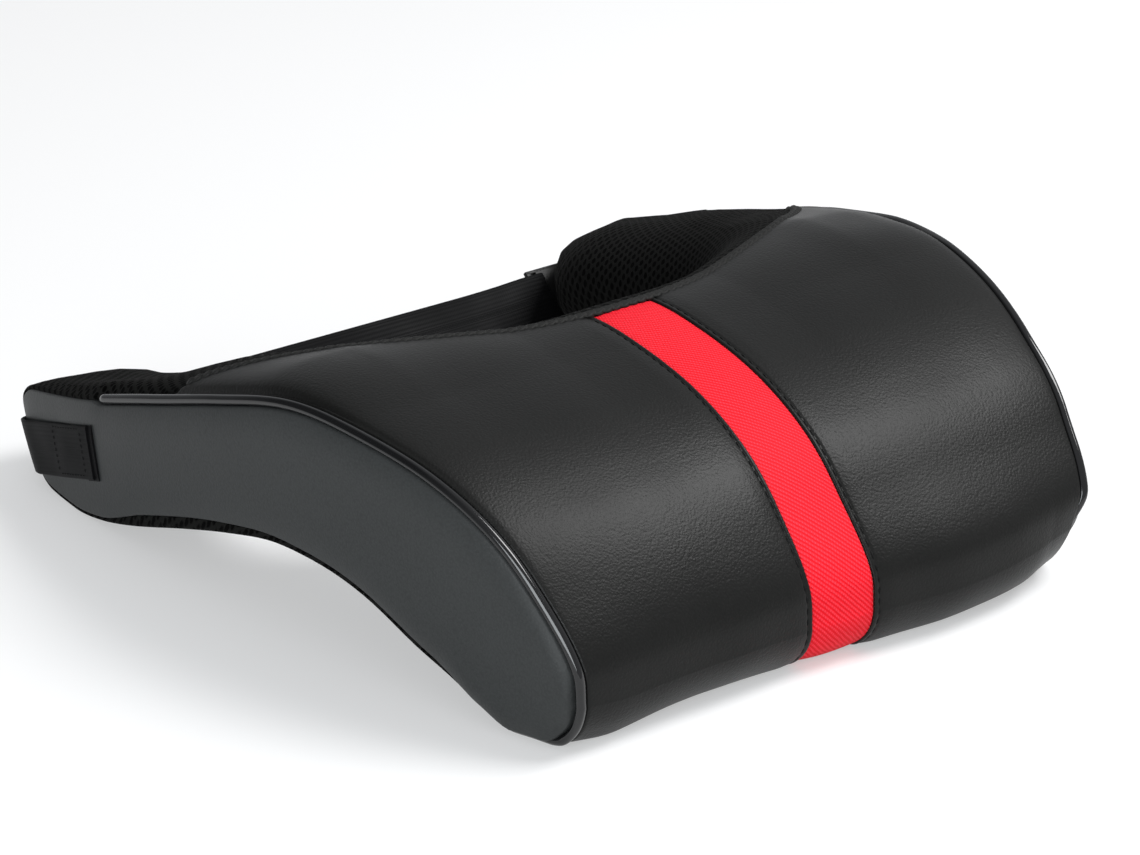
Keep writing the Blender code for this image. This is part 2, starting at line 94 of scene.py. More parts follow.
TOP_KNOTS = (
    (0.004, 0.350), (0.032, 0.530), (0.100, 0.765), (0.200, 0.930), (0.325, 1.000),
    (0.420, 0.990), (0.550, 0.872), (0.680, 0.718), (0.800, 0.580), (0.900, 0.480),
)
TOP_END_KNOT = 0.975
BOTTOM_KNOTS = (
    (0.005, 0.215), (0.018, 0.045), (0.034, 0.000), (0.085, 0.000), (0.130, 0.180),
    (0.190, 0.480), (0.260, 0.760), (0.340, 0.950), (0.400, 1.000), (0.460, 0.975),
    (0.540, 0.800), (0.630, 0.545), (0.730, 0.240), (0.810, 0.060), (0.855, 0.000),
    (0.905, 0.000), (0.935, 0.025), (0.955, 0.120), (0.975, 0.345), (1.000, 0.650),
)
CROWN_KNOTS = (
    (0.00, 0.00), (0.10, 0.20), (0.31, 0.38), (0.47, 1.00), (0.60, 0.95), (0.78, 0.60),
    (0.92, 0.20), (1.00, 0.00),
)
FRONT_ROWS = 8
SEAM_ROWS = 16
EDGE_ROWS = 27
EDGE_POWER = 2.3

STRIPE_U = STRIPE_WIDTH / FRONT_WIDTH  # station of the stripe's edge

# Sizes of the sewn detail
LEATHER = 0.0014  # thickness of a leather panel
FABRIC = 0.0016  # thickness of the mesh and the stripe
FOLD = 0.0008  # round edge of a turned-under panel
STRIPE_DEPTH = 0.0009  # how far the stripe lies below the panels beside it
UNDER_PIPING = 0.0033  # covers end this far in from the side, beside the piping
SEAM_EDGE = 0.0003  # and this far in where there is no piping
SIDE_PUFF = 0.0026  # how far the side panels swell outward
PUFF_REACH = 0.015
MESH_WRAP = 0.0048  # how far the mesh wraps up the side, below the arms and the arch
WRAP_ROUND = 0.0030
LEAST_WRAP = 0.0013  # the same beside the piping and on top of the arms
LEAST_ROUND = 0.0010
TUCK = 0.0007  # how far the end of a wrapped cover turns in
FOAM_INSET = 0.0008  # how much smaller the foam shown is than the solid one
SEWN_GAP = 0.0002  # between a front panel's edge and the stripe's
LOWEST = 0.0001  # height of the covers above the ground where they rest on it
STITCH_PITCH = 0.0043
STITCH_LENGTH = 0.0033
STITCH_RADIUS = 0.00036
STITCH_EDGE = 0.0021  # stitch line from a panel's edge
TAB_STITCH_PITCH = 0.0024
TAB_STITCH_LENGTH = 0.0019
TAB_STITCH_RADIUS = 0.00028
TAB_LIFT = 0.0004  # tab above the side panel
TAB_FOLD = 0.0009  # thickness of the folded tape below a tab
BRAID_HALF_WIDTH = 0.0023
BRAID_HALF_HEIGHT = 0.0013
BRAID_PITCH = 0.0040
SLIDER_PLATE = 0.0150  # the slider's middle plate reaches its right bar
SLIDER_PLATE_SHIFT = 0.0022
SLIDER_LIFT = 0.0003  # keeps the lower rail off the ground
SLIDER_REACH = 0.013  # half the slider's length along the strap
STRAP_END_X = 0.143  # where the strap turns round the tips
STRAP_TAIL = 0.016  # sewn end behind a bar
TAIL_START = 0.004
STRAP_TWIST = math.radians(7.0)  # how much flatter the slider lies than the strap's ends
STRAP_SLACK = 0.0032  # how far the strap stands out where it leaves the left tip

# Slack in the strap and fullness of the front by x, and slack of the left arm by y
STRAP_DROP = (
    (-0.143, 0.0), (-0.080, 0.00085), (-0.034, 0.00145), (0.005, 0.00185), (0.045, 0.00215),
    (0.072, 0.00225), (0.084, 0.0020), (0.093, 0.00152), (0.106, 0.00148), (0.119, 0.00142),
    (0.143, 0.0),
)
BELLY = (
    (-0.117, 0.0), (-0.104, -0.0008), (-0.087, -0.0022), (-0.060, -0.0030),
    (-0.043, -0.0022), (-0.022, -0.0013), (-0.004, 0.0013), (0.015, 0.0020),
    (0.033, 0.0020), (0.052, 0.0028), (0.069, 0.0023), (0.081, 0.0018), (0.091, 0.0008),
    (0.100, 0.0),
)
LEFT_CREST = (
    (0.200, 0.0), (0.216, 0.0014), (0.230, 0.0030), (0.240, 0.0036), (0.261, 0.0031),
    (0.276, 0.0025), (0.295, 0.0010), (0.308, 0.0),
)

# Weaves and gloss
LEATHER_SPECULAR = 0.17
RIB_PITCH = 0.00148
BEAD_PITCH = 0.00118
MESH_COLUMN = 0.0046
MESH_ROW = 0.0033
WEBBING_RIB = 0.0011
WEBBING_PICK = 0.0008

# Stage
FLOOR_SIZE = 12.0
FLOOR_COLOUR = (0.60, 0.60, 0.60)
FLOOR_GLOW = 0.385  # seen by the camera and in reflections only
STUDIO_COLOUR = (0.95, 0.97, 1.0, 1.0)
STUDIO_DARK_SIDE = (-0.62, 0.55, 0.56)  # up at the back on the left
STUDIO_SHADE = (0.60, 0.92, 0.55, 0.10)  # from and to how near to it, and the strengths there
CAMERA_PLACE = (-0.9923, -1.3159, 0.7853)
CAMERA_AZIMUTH = math.radians(-37.053)
CAMERA_ELEVATION = math.radians(24.462)
CAMERA_LENS = 150.39  # millimetres, on a sensor 36 wide


def smooth_step(value, low, high):
    share = np.clip((value - low) / (high - low), 0, 1)
    return share * share * (3 - 2 * share)


def fade(value, low, high):
    return 1 - smooth_step(value, low, high)


def unit(vectors):
    size = np.linalg.norm(vectors, axis=-1, keepdims=True)
    return vectors / np.maximum(size, 1e-12)


def smooth_curve(knots, steps=10):
    """A centripetal Catmull-Rom curve through the knots, as an array of points."""
    knots = np.array(knots, float)
    ends = [2 * knots[0] - knots[1], *knots, 2 * knots[-1] - knots[-2]]
    points = []
    for p0, p1, p2, p3 in zip(ends, ends[1:], ends[2:], ends[3:]):
        t1 = math.sqrt(np.linalg.norm(p1 - p0))
        t2 = t1 + math.sqrt(np.linalg.norm(p2 - p1))
        t3 = t2 + math.sqrt(np.linalg.norm(p3 - p2))
        for t in np.linspace(t1, t2, steps, endpoint=False):
            a1 = p0 + (p1 - p0) * t / t1
            a2 = p1 + (p2 - p1) * (t - t1) / (t2 - t1)
            a3 = p2 + (p3 - p2) * (t - t2) / (t3 - t2)
            b1 = a1 + (a2 - a1) * t / t2
            b2 = a2 + (a3 - a2) * (t - t1) / (t3 - t1)
            points.append(b1 + (b2 - b1) * (t - t1) / (t2 - t1))
    points.append(ends[-2])
    return np.array(points)


def half_width(y):
    ahead = np.maximum(1 - y / WIDEST_Y, 0.0) ** 2.2
    behind = np.maximum((y - WIDEST_Y) / (LENGTH - WIDEST_Y), 0.0) ** 2
    return (ARM_WIDTH - (ARM_WIDTH - FRONT_WIDTH) * ahead - (ARM_WIDTH - TIP_WIDTH) * behind) / 2


def neck_edge():
    """Outline of the inner edge, seen from above, from the middle line to an outer tip corner."""
    half_neck = NECK_WIDTH / 2
    turn = np.linspace(0, math.pi / 2, 24)
    x = half_neck * np.sin(turn) ** (2 / EDGE_POWER)
    y = NECK_FRONT_Y + NECK_CORNER * (1 - np.clip(np.cos(turn), 0, 1) ** (2 / EDGE_POWER))
    corner = np.linspace(0, math.pi / 2, 12)
    round_x = half_neck + TIP_CORNER * (1 - np.cos(corner))
    x = np.concatenate([x, round_x, [half_width(LENGTH)]])
    y = np.concatenate([y, LENGTH - TIP_CORNER * (1 - np.sin(corner)), [LENGTH]])
    run = np.append(0, np.cumsum(np.hypot(np.diff(x), np.diff(y))))
    even = np.linspace(0, run[-1], 241)
    return np.column_stack([np.interp(even, run, x), np.interp(even, run, y)])


TOP_LINE = smooth_curve(
    [(0.0, NOSE_HEIGHT)]
    + [(y * LENGTH, z * HEIGHT) for y, z in TOP_KNOTS]
    + [(TOP_END_KNOT * LENGTH, TIP_HEIGHT), (LENGTH, TIP_HEIGHT - 0.03 * HEIGHT)]
)
BOTTOM_LINE = smooth_curve(
    [(0.0, NOSE_HEIGHT)] + [(y * LENGTH, z * ARCH_RISE) for y, z in BOTTOM_KNOTS]
)
NECK_EDGE = neck_edge()
EDGE_SHARE = np.linspace(0, 1, len(NECK_EDGE))
EDGE_ROUND = np.interp(
    EDGE_SHARE,
    [0, 0.25, 0.5, 0.7, 0.9, 1],
    [INNER_ROUND, INNER_ROUND, ARM_INNER_ROUND, ARM_INNER_ROUND, CORNER_ROUND, END_ROUND],
)


def across(u, y):
    """X of station u at length y: straight near the middle, along the side panel at u = 1."""
    front = FRONT_WIDTH / 2
    return u * front + (half_width(y) - front) * u * abs(u) ** 2


def edge_point(u):
    share = 0.48 * abs(u) + 0.52 * abs(u) ** 7
    x = np.interp(share, EDGE_SHARE, NECK_EDGE[:, 0])
    return np.copysign(x, u), np.interp(share, EDGE_SHARE, NECK_EDGE[:, 1])


def seam_y(u):
    return SEAM_Y + SEAM_BOW * u**2 + (SEAM_SIDE_Y - SEAM_Y - SEAM_BOW) * u**12


def plan(u, row):
    """Place of a row of station u, seen from above. Rows need not be whole numbers."""
    ahead = UNDER_SEAM_Y * (np.minimum(row, FRONT_ROWS) / FRONT_ROWS) ** 2.2
    on_front = np.clip((row - FRONT_ROWS) / (SEAM_ROWS - FRONT_ROWS), 0, 1)
    behind = np.clip((row - SEAM_ROWS) / (EDGE_ROWS - SEAM_ROWS), 0, 1)
    share = 1 - (1 - behind) ** 2
    edge_x, edge_y = edge_point(u)
    y = ahead + (seam_y(u) - UNDER_SEAM_Y) * on_front + (edge_y - seam_y(u)) * share
    return across(u, y) + (edge_x - across(u, edge_y)) * share, y


def inward(x, y):
    """1 at the inner edge, falling to 0 where the skin no longer rounds over to it."""
    starts, ends = NECK_EDGE[:-1], NECK_EDGE[1:]
    along = ends - starts
    places = np.column_stack([abs(x).ravel(), y.ravel()])
    nearest = np.empty(len(places))
    for part in np.array_split(np.arange(len(places)), len(places) // 4000 + 1):
        place = places[part, None]
        share = ((place - starts) * along).sum(axis=2) / (along**2).sum(axis=1)
        foot = starts + along * np.clip(share, 0, 1)[..., None]
        offsets = np.linalg.norm(foot - place, axis=2)
        nearest[part] = (offsets / EDGE_ROUND[1:]).min(axis=1)
    return 1 - np.minimum(nearest, 1.0).reshape(x.shape)


def panel_swell(u):
    stripe = STRIPE_WIDTH / FRONT_WIDTH
    share = np.clip((abs(u) - stripe) / (1 - stripe), 0, 1)
    return 4 * share * (1 - share)


def crown(x, y):
    along = np.interp(y / LENGTH, *zip(*CROWN_KNOTS))
    reach = np.interp(y, [SEAM_SIDE_Y, WIDEST_Y], [SHOULDER_ROUND, ARM_ROUND])
    outer = 1 - np.clip((half_width(y) - abs(x)) / reach, 0.0, 1.0)
    inner = np.interp(abs(x), [0.4 * FRONT_WIDTH / 2, 0.9 * FRONT_WIDTH / 2], [0.22, 1.0])
    return CROWN * along * np.sqrt(1 - outer**2) * inner


def skin(u, v, inset=0.0):
    """Points of the outer face at station u and row v, below where v is negative."""
    u, v, inset = np.broadcast_arrays(np.asarray(u, float), v, inset)
    x, y = plan(u, abs(v))
    z_top = np.interp(y, TOP_LINE[:, 0], TOP_LINE[:, 1])
    z_bottom = np.maximum(np.interp(y, BOTTOM_LINE[:, 0], BOTTOM_LINE[:, 1]), 0.0)
    beside = np.minimum(abs(x) / half_width(y), 1.0) ** 8
    near_front = np.interp(y, [UNDER_SEAM_Y, 1.8 * UNDER_SEAM_Y], [1, 0])
    low = np.maximum(1 - z_bottom / NOSE_HEIGHT, 0.0)
    z_bottom = z_bottom + (PIPING_RADIUS - PIPING_INSET) * beside * near_front * low
    z_top = z_top + crown(x, y)
    swell = np.maximum(1 - inward(x, y) ** EDGE_POWER, 0.0) ** (1 / EDGE_POWER)
    middle = (z_top + z_bottom) / 2
    z = middle + (np.where(v >= 0, z_top, z_bottom) - middle) * swell
    y = y - FRONT_CROWN * panel_swell(u) * np.maximum(1 - y / UNDER_SEAM_Y, 0.0)
    return np.stack([x - np.sign(u) * inset * abs(u) ** 8, y, z], axis=-1)


def wrapped(v):
    """Row v on the closed loop of a side, which runs from -EDGE_ROWS to EDGE_ROWS."""
    return (v + EDGE_ROWS) % (2 * EDGE_ROWS) - EDGE_ROWS


def side_line(v):
    """Points of the right side's outline and its outward normals in the plane of Y and Z."""
    v = np.asarray(v, float)
    place = skin(1.0, v)
    step = 0.04
    along = skin(1.0, wrapped(v + step)) - skin(1.0, wrapped(v - step))
    normal = np.stack([0 * v, -along[..., 2], along[..., 1]], axis=-1)
    return place, unit(normal)


def normals_of(grid):
    """Normals of a grid of points, outward where columns run to the right and rows to the back."""
    return unit(np.cross(np.gradient(grid, axis=0), np.gradient(grid, axis=1)))


def hill(value, start, top, end, stop):
    """0 up to start, 1 from top to end and 0 from stop on."""
    return smooth_step(value, start, top) * fade(value, end, stop)


def along_knots(value, knots):
    line = smooth_curve(knots)
    return np.interp(value, line[:, 0], line[:, 1])


def soften(points):
    """Slack and fullness of the stuffed form, which move every piece near them alike."""
    x, y, z = points.T
    at_front = fade(y, 0.010, 0.040)
    wave = np.sin(52 * x + 31 * y + 1.0) * np.sin(37 * y - 44 * x + 0.4)
    rise = 0.0005 * wave * smooth_step(z, 0.02, 0.05)
    # The right front corner is stuffed less: it lifts off the ground and rounds off.
    low = smooth_step(x, 0.050, 0.118) * fade(y, 0.000, 0.085)
    rise += 0.0042 * low * fade(z, 0.012, 0.060)
    corner = smooth_step(x, 0.088, 0.118) * fade(y, 0.020, 0.060)
    corner *= fade(z, 0.004, 0.036)
    # The front swells forward right of the stripe, tucks under left of it and rounds off below.
    belly = (along_knots(x, BELLY) + 0.0031 * smooth_step(z, 0.001, 0.018)) * at_front
    under = np.maximum(1 - z / 0.018, 0.0) ** 2 * fade(y, 0.004, 0.030)
    belly -= 0.0026 * under * fade(abs(x), 0.055, 0.100)
    belly *= fade(z, 0.030, 0.060)
    tuck = hill(x, -0.105, -0.070, -0.045, -0.012) * fade(y, 0.006, 0.030)
    rise += 0.0014 * tuck * fade(z, 0.010, 0.030)
    # The right side is full ahead of its shoulder and slack behind it, beside the piping.
    full = smooth_step(x, 0.055, 0.110) * smooth_step(z, 0.020, 0.050)
    full *= fade(y, 0.018, 0.045)
    beside = smooth_step(x, 0.1385, 0.1465)
    slack = smooth_step(x, 0.095, 0.125) * (1 - beside) * hill(y, 0.100, 0.140, 0.200, 0.235)
    lifted = beside * hill(y, 0.150, 0.190, 0.220, 0.260)
    rise += smooth_step(z, 0.035, 0.065) * (0.0011 * lifted - 0.0024 * slack)
    # The left arm is slack behind the seam, the arch sags at its front end, and the left
    # front corner is lifted a little.
    crest = hill(-x, 0.085, 0.105, 0.128, 0.147) * smooth_step(z, 0.030, 0.048)
    rise -= crest * along_knots(y, LEFT_CREST)
    rise -= 0.0025 * np.exp(-(((y - 0.073) / 0.017) ** 2)) * fade(z, 0.030, 0.060)
    left = smooth_step(-x, 0.095, 0.117) * fade(y, 0.015, 0.045)
    rise += 0.0016 * left * fade(z, 0.010, 0.040)
    # The right tip is a little flat on top, and its inner corner is worn narrow.
    flat = smooth_step(x, 0.118, 0.134) * hill(y, 0.255, 0.285, 0.305, 0.330)
    rise -= 0.0013 * flat * smooth_step(z, 0.020, 0.035)
    worn = hill(x, 0.080, 0.096, 0.112, 0.138) * smooth_step(y, 0.272, 0.305)
    worn *= fade(z, 0.045, 0.065)
    moved = points.copy()
    moved[:, 0] += 0.0023 * full - 0.0050 * corner + 0.0036 * worn
    moved[:, 1] += 0.0030 * corner - belly
    moved[:, 2] = np.where(z > 0, np.maximum(z + rise, 0.0), z)
    return moved


def grid_faces(columns, rows, ring=False):
    last = rows if ring else rows - 1
    i, j = np.meshgrid(np.arange(columns - 1), np.arange(last), indexing="ij")
    k = (j + 1) % rows
    faces = np.stack([i * rows + j, (i + 1) * rows + j, (i + 1) * rows + k, i * rows + k], axis=-1)
    return faces.reshape(-1, 4)


def add_object(name, data):
    made = bpy.data.objects.new(name, data)
    bpy.context.scene.collection.objects.link(made)
    return made


def add_piece(name, points, faces, material, uv=None, moved=True):
    """A piece of the pillow from nose coordinates, closed and smooth shaded."""
    points = np.asarray(points, float).reshape(-1, 3)
    if moved:
        points = soften(points)
    mesh = bpy.data.meshes.new(name)
    mesh.from_pydata((points + NOSE).tolist(), [], [list(map(int, face)) for face in faces])
    if uv is not None:
        layer = mesh.uv_layers.new(name="cloth")
        corners = np.empty(len(mesh.loops), np.int32)
        mesh.loops.foreach_get("vertex_index", corners)
        layer.data.foreach_set("uv", np.asarray(uv, float).reshape(-1, 2)[corners].ravel())
    bm = bmesh.new()
    bm.from_mesh(mesh)
    bmesh.ops.remove_doubles(bm, verts=bm.verts, dist=2e-6)
    bmesh.ops.dissolve_degenerate(bm, edges=bm.edges, dist=2e-6)
    bmesh.ops.recalc_face_normals(bm, faces=bm.faces)
    for face in bm.faces:
        face.smooth = True
    bm.to_mesh(mesh)
    bm.free()
    mesh.set_sharp_from_angle(angle=math.radians(50))
    mesh.materials.append(material)
    obj = add_object(name, mesh)
    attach(obj, "root")
    return obj


def shell(name, outer, thickness, material, uv=None, inner=None):
    """A closed sheet below a grid of outer points."""
    columns, rows = outer.shape[:2]
    if inner is None:
        inner = outer - normals_of(outer) * thickness
    count = columns * rows
    faces = grid_faces(columns, rows)
    index = np.arange(count).reshape(columns, rows)
    rim = np.concatenate([index[:, 0], index[-1, 1:], index[-2::-1, -1], index[0, -2:0:-1]])
    ahead = np.roll(rim, -1)
    sides = np.stack([rim, ahead, ahead + count, rim + count], axis=-1)
    points = np.concatenate([outer.reshape(-1, 3), inner.reshape(-1, 3)])
    faces = np.concatenate([faces, faces[:, ::-1] + count, sides])
    if uv is not None:
        uv = np.concatenate([uv.reshape(-1, 2)] * 2)
    return add_piece(name, points, faces, material, uv)


def tube_faces(rings, sides, base=0):
    faces = (grid_faces(rings, sides, ring=True) + base).tolist()
    last = base + (rings - 1) * sides
    return faces + [list(range(base, base + sides))[::-1], list(range(last, last + sides))]


def tube(name, rings, material):
    """A closed tube through rings of points."""
    return add_piece(name, rings, tube_faces(*rings.shape[:2]), material)


def rings_round(path, side, up, wide, high):
    """Rings of points round a path, from their distances across it and up."""
    return path[:, None] + wide[..., None] * side[:, None] + high[..., None] * up[:, None]


def run_of(points):
    return np.append(0, np.cumsum(np.linalg.norm(np.diff(points, axis=0), axis=1)))


def at_run(points, run, places):
    """Points at these distances along a line."""
    return np.stack([np.interp(places, run, points[:, k]) for k in range(3)], axis=-1)


def resampled(points, step):
    run = run_of(points)
    even = np.linspace(0, run[-1], max(int(run[-1] / step), 2))
    return at_run(points, run, even), even


# Materials


class Shader:
    """A Principled material with short calls for the nodes it needs."""

    def __init__(self, name, colour, roughness, **inputs):
        self.material = bpy.data.materials.new(name)
        self.material.use_nodes = True
        self.tree = self.material.node_tree
        self.shader = self.tree.nodes["Principled BSDF"]
        self.set(self.shader, "Base Color", (*colour, 1.0))
        self.set(self.shader, "Roughness", roughness)
        for key, value in inputs.items():
            self.set(self.shader, key.replace("_", " "), value)

    def set(self, node, key, value):
        socket = node.inputs[key]
        if isinstance(value, bpy.types.NodeSocket):
            self.tree.links.new(value, socket)
        else:
            socket.default_value = value

    def node(self, kind, output=0, settings=(), **inputs):
        node = self.tree.nodes.new("ShaderNode" + kind)
        for key, value in dict(settings).items():
            setattr(node, key, value)
        for key, value in inputs.items():
            name = int(key[1:]) if key[0] == "_" else key.replace("_", " ")
            self.set(node, name, value)
        return node.outputs[output]

    def math(self, operation, first, second=0.0, third=0.0):
        return self.node("Math", 0, {"operation": operation}, _0=first, _1=second, _2=third)

    def place(self):
        return self.node("TexCoord", "Object")

    def noise(self, scale, detail=2.0, rough=0.5):
        inputs = {"Vector": self.place(), "Scale": scale, "Detail": detail, "Roughness": rough}
        return self.node("TexNoise", "Fac", **inputs)

    def ramp(self, value, low, high, to_low=0.0, to_high=1.0, kind="LINEAR"):
        settings = {"interpolation_type": kind}
        return self.node("MapRange", 0, settings, _0=value, _1=low, _2=high, _3=to_low, _4=to_high)

    def mix(self, share, first, second):
        node = self.tree.nodes.new("ShaderNodeMix")
        node.data_type = "RGBA"
        self.set(node, 0, share)
        for index, colour in ((6, first), (7, second)):
            plain = isinstance(colour, tuple)
            self.set(node, index, (*colour, 1.0) if plain else colour)
        return node.outputs[2]

    def times(self, first, second):
        return self.math("MULTIPLY", first, second)

    def wave(self, run, pitch):
        return self.math("SINE", self.times(run, 2 * math.pi / pitch))

    def cloth(self):
        """Distances along and across the cloth of a piece."""
        split = self.node("SeparateXYZ", 0, _0=self.node("UVMap", 0, {"uv_map": "cloth"})).node
        return split.outputs[0], split.outputs[1]

    def out(self, key, value):
        self.set(self.shader, key, value)

    def bump(self, height, distance):
        self.out("Normal", self.node("Bump", "Normal", Height=height, Distance=distance))

    def gloss(self, noise, low, high):
        self.out("Roughness", self.ramp(noise, 0.3, 0.7, low, high))

    def colours(self, share, first, second):
        self.out("Base Color", self.mix(share, first, second))


def tinted(colour, share):
    return tuple(share * c for c in colour)


def leather(name, colour, roughness, grain):
    """Fine pebbled grain over slow shifts in shade and gloss."""
    look = Shader(name, colour, roughness, Specular_IOR_Level=LEATHER_SPECULAR)
    noise = look.node("TexNoise", "Color", Vector=look.place(), Scale=420.0, Detail=2.0)
    inputs = {"_0": noise, "_1": (0.0010, 0.0010, 0.0010), "_2": look.place()}
    bent = look.node("VectorMath", 0, {"operation": "MULTIPLY_ADD"}, **inputs)
    kind = {"feature": "SMOOTH_F1"}
    cells = look.node("TexVoronoi", "Distance", kind, Vector=bent, Scale=1150.0)
    creases = look.noise(700.0, 4.0, 0.6)
    height = look.math("MULTIPLY_ADD", cells, -0.8, look.times(creases, 0.5))
    slow = look.noise(14.0, 3.0)
    look.bump(height, grain)
    look.gloss(slow, roughness - 0.035, roughness + 0.04)
    pores = look.ramp(cells, 0.15, 0.75, 0.0, 1.0)
    shade = look.math("MULTIPLY_ADD", slow, 0.7, look.times(pores, -0.35))
    tone = look.ramp(shade, -0.1, 0.5)
    look.colours(tone, tinted(colour, 0.82), tinted(colour, 1.18))
    return look.material


def woven(name, colour):
    """Twill ribs that run down to the right over the stripe, beaded where the threads cross, with
    painted highlights on the raised threads and painted shade between them.
    """
    look = Shader(name, colour, 0.6, Specular_IOR_Level=0.12)
    x, s = look.cloth()
    wobble = look.times(look.noise(260.0, 2.0), 0.00045)
    rib = look.math("ADD", look.times(look.math("ADD", x, s), 0.7071), wobble)
    bead = look.times(look.math("SUBTRACT", x, s), 0.7071)
    rib_wave = look.wave(rib, RIB_PITCH)
    shifted = look.math("MULTIPLY_ADD", rib, math.pi / RIB_PITCH, 0.4)
    crossed = look.math("MULTIPLY_ADD", bead, 2 * math.pi / BEAD_PITCH, shifted)
    bead_wave = look.math("SINE", crossed)
    ribs = look.ramp(rib_wave, -1.0, 0.9, 0.0, 1.0, "SMOOTHSTEP")
    beads = look.ramp(bead_wave, -1.0, 0.6, 0.45, 1.0, "SMOOTHSTEP")
    height = look.times(ribs, beads)
    look.bump(height, 0.00024)
    # The colour follows the relief: painted shade in the hollows between the threads and a paler,
    # whiter painted highlight on the raised beads.
    hollow_shade = (0.84 * colour[0], 0.3 * colour[1], 0.4 * colour[2])
    light = (1.05 * colour[0], 2.6 * colour[1], 2.1 * colour[2])
    look.colours(look.ramp(height, 0.05, 0.95), hollow_shade, light)
    return look.material


def air_mesh(name, colour):
    """Staggered oval holes between raised yarn ribs."""
    look = Shader(name, colour, 0.9, Specular_IOR_Level=0.05)
    along, down = look.cloth()
    wobble = look.times(look.noise(150.0, 1.0), 0.0008)
    s = look.math("DIVIDE", look.math("ADD", along, wobble), MESH_COLUMN)
    t = look.math("DIVIDE", look.math("ADD", down, wobble), MESH_ROW)
    odd = look.times(look.math("PINGPONG", look.math("FLOOR", s), 1.0), 0.5)
    ds = look.times(look.math("SUBTRACT", look.math("FRACT", s), 0.5), 1 / 0.36)
    t_here = look.math("FRACT", look.math("ADD", t, odd))
    dt = look.times(look.math("SUBTRACT", t_here, 0.5), 1 / 0.42)
    squares = [look.math("POWER", value, 2.0) for value in (ds, dt)]
    away = look.math("SQRT", look.math("ADD", *squares))
    solid = look.ramp(away, 0.65, 1.10, 0.0, 1.0, "SMOOTHSTEP")
    yarn = look.noise(2600.0, 2.0)
    height = look.math("MULTIPLY_ADD", yarn, 0.18, solid)
    look.bump(height, 0.0007)
    # The holes are painted near black: the mesh's own black under layer, darkened further by
    # painted shade inside the openings.
    look.colours(solid, tinted(colour, 0.02), colour)
    return look.material


def webbing(name, colour):
    """Smooth elastic webbing with fine lengthwise ribs."""
    look = Shader(name, colour, 0.6, Specular_IOR_Level=0.1)
    along, width = look.cloth()
    ribs = look.wave(width, WEBBING_RIB)
    picks = look.wave(along, WEBBING_PICK)
    fuzzy = look.math("MULTIPLY_ADD", look.noise(1500.0), 0.5, ribs)
    height = look.math("MULTIPLY_ADD", picks, 0.35, fuzzy)
    look.bump(height, 0.000025)
    look.gloss(look.noise(40.0), 0.52, 0.66)
    tone = look.ramp(height, -1.0, 1.5)
    look.colours(tone, tinted(colour, 0.7), colour)
    return look.material


def thread(name, colour):
    look = Shader(name, colour, 0.6, Specular_IOR_Level=0.15)
    plies = look.noise(2200.0)
    look.bump(plies, 0.0001)
    look.colours(plies, tinted(colour, 0.5), colour)
    return look.material


def patent(name, colour):
    """Glossy vinyl with a faint orange peel."""
    look = Shader(name, colour, 0.08, Specular_IOR_Level=0.5)
    smudges = look.noise(60.0, 3.0)
    look.bump(look.noise(500.0), 0.000012)
    look.gloss(smudges, 0.06, 0.12)
    look.colours(smudges, tinted(colour, 0.8), colour)
    return look.material


def moulded(name, colour):
    look = Shader(name, colour, 0.4, Specular_IOR_Level=0.25)
    texture = look.noise(1400.0)
    look.bump(texture, 0.00003)
    look.gloss(look.noise(90.0), 0.34, 0.46)
    look.colours(texture, tinted(colour, 0.8), colour)
    return look.material


def foam(name, colour):
    look = Shader(name, colour, 0.9)
    cells = look.node("TexVoronoi", "Distance", Vector=look.place(), Scale=900.0)
    look.bump(cells, 0.0002)
    look.colours(look.noise(60.0, 3.0), tinted(colour, 0.85), colour)
    return look.material


# Cover panels


def fold_drop(distance):
    """How far a turned edge has dropped at this distance from its end."""
    near = np.clip(FOLD - distance, 0, FOLD)
    return FOLD - np.sqrt(FOLD**2 - near**2)


def wrap_sizes(y, top):
    """How far in from the side a cover turns down, how tightly, and how far it goes on."""
    start = np.where(top, PIPING_END_Y - 0.002, PIPING_UNDER_Y - 0.012)
    end = np.where(top, PIPING_END_Y + 0.004, PIPING_UNDER_Y + 0.005)
    beside = fade(y, start, end)
    inset = SEAM_EDGE + (UNDER_PIPING - SEAM_EDGE) * beside
    full = 0.30 * smooth_step(y, 0.046, 0.080) + 0.78 * smooth_step(y, 0.125, 0.195)
    below = np.where(top, 0.0, full * fade(y, 0.222, 0.256))
    radius = LEAST_ROUND + (WRAP_ROUND - LEAST_ROUND) * below
    rise = LEAST_WRAP + (MESH_WRAP - LEAST_WRAP) * below
    return inset, radius, rise


def wrap_columns(vs, sign):
    """Columns that carry a cover round the corner between it and a side panel."""
    place, normal = side_line(vs)
    top = np.asarray(vs) >= 0
    inset, radius, rise = (size[:, None] for size in wrap_sizes(place[:, 1], top))
    out = np.array((1.0, 0.0, 0.0))
    columns = []
    for turn in np.radians((22.5, 45.0, 67.5, 90.0)):
        centre = place - out * (inset + radius) - normal * radius
        columns.append(centre + radius * (out * math.sin(turn) + normal * math.cos(turn)))
    for share in (0.4, 0.8, 1.0):
        columns.append(place - out * inset - normal * (radius + (rise - radius) * share))
    for turn in np.radians((45.0, 90.0)):
        turned_in = inset + TUCK * (1 - math.cos(turn))
        columns.append(place - out * turned_in - normal * (rise + TUCK * math.sin(turn)))
    columns = np.array(columns)
    columns[..., 0] *= sign
    return columns


def cover_grid(us, vs, left=False, right=False):
    """Outer points over stations and rows, wrapped round the sides that are asked for."""
    vs = np.asarray(vs, float)
    _, y = plan(1.0, abs(vs))
    inset, radius, _ = wrap_sizes(y, vs >= 0)
    grid = skin(np.asarray(us)[:, None], vs[None], (inset + radius)[None])
    parts = [grid]
    if left:
        parts.insert(0, wrap_columns(vs, -1)[::-1])
    if right:
        parts.append(wrap_columns(vs, 1))
    return np.concatenate(parts)


def dense(start, end, step):
    return np.linspace(start, end, max(int(round(abs(end - start) / step)), 1) + 1)


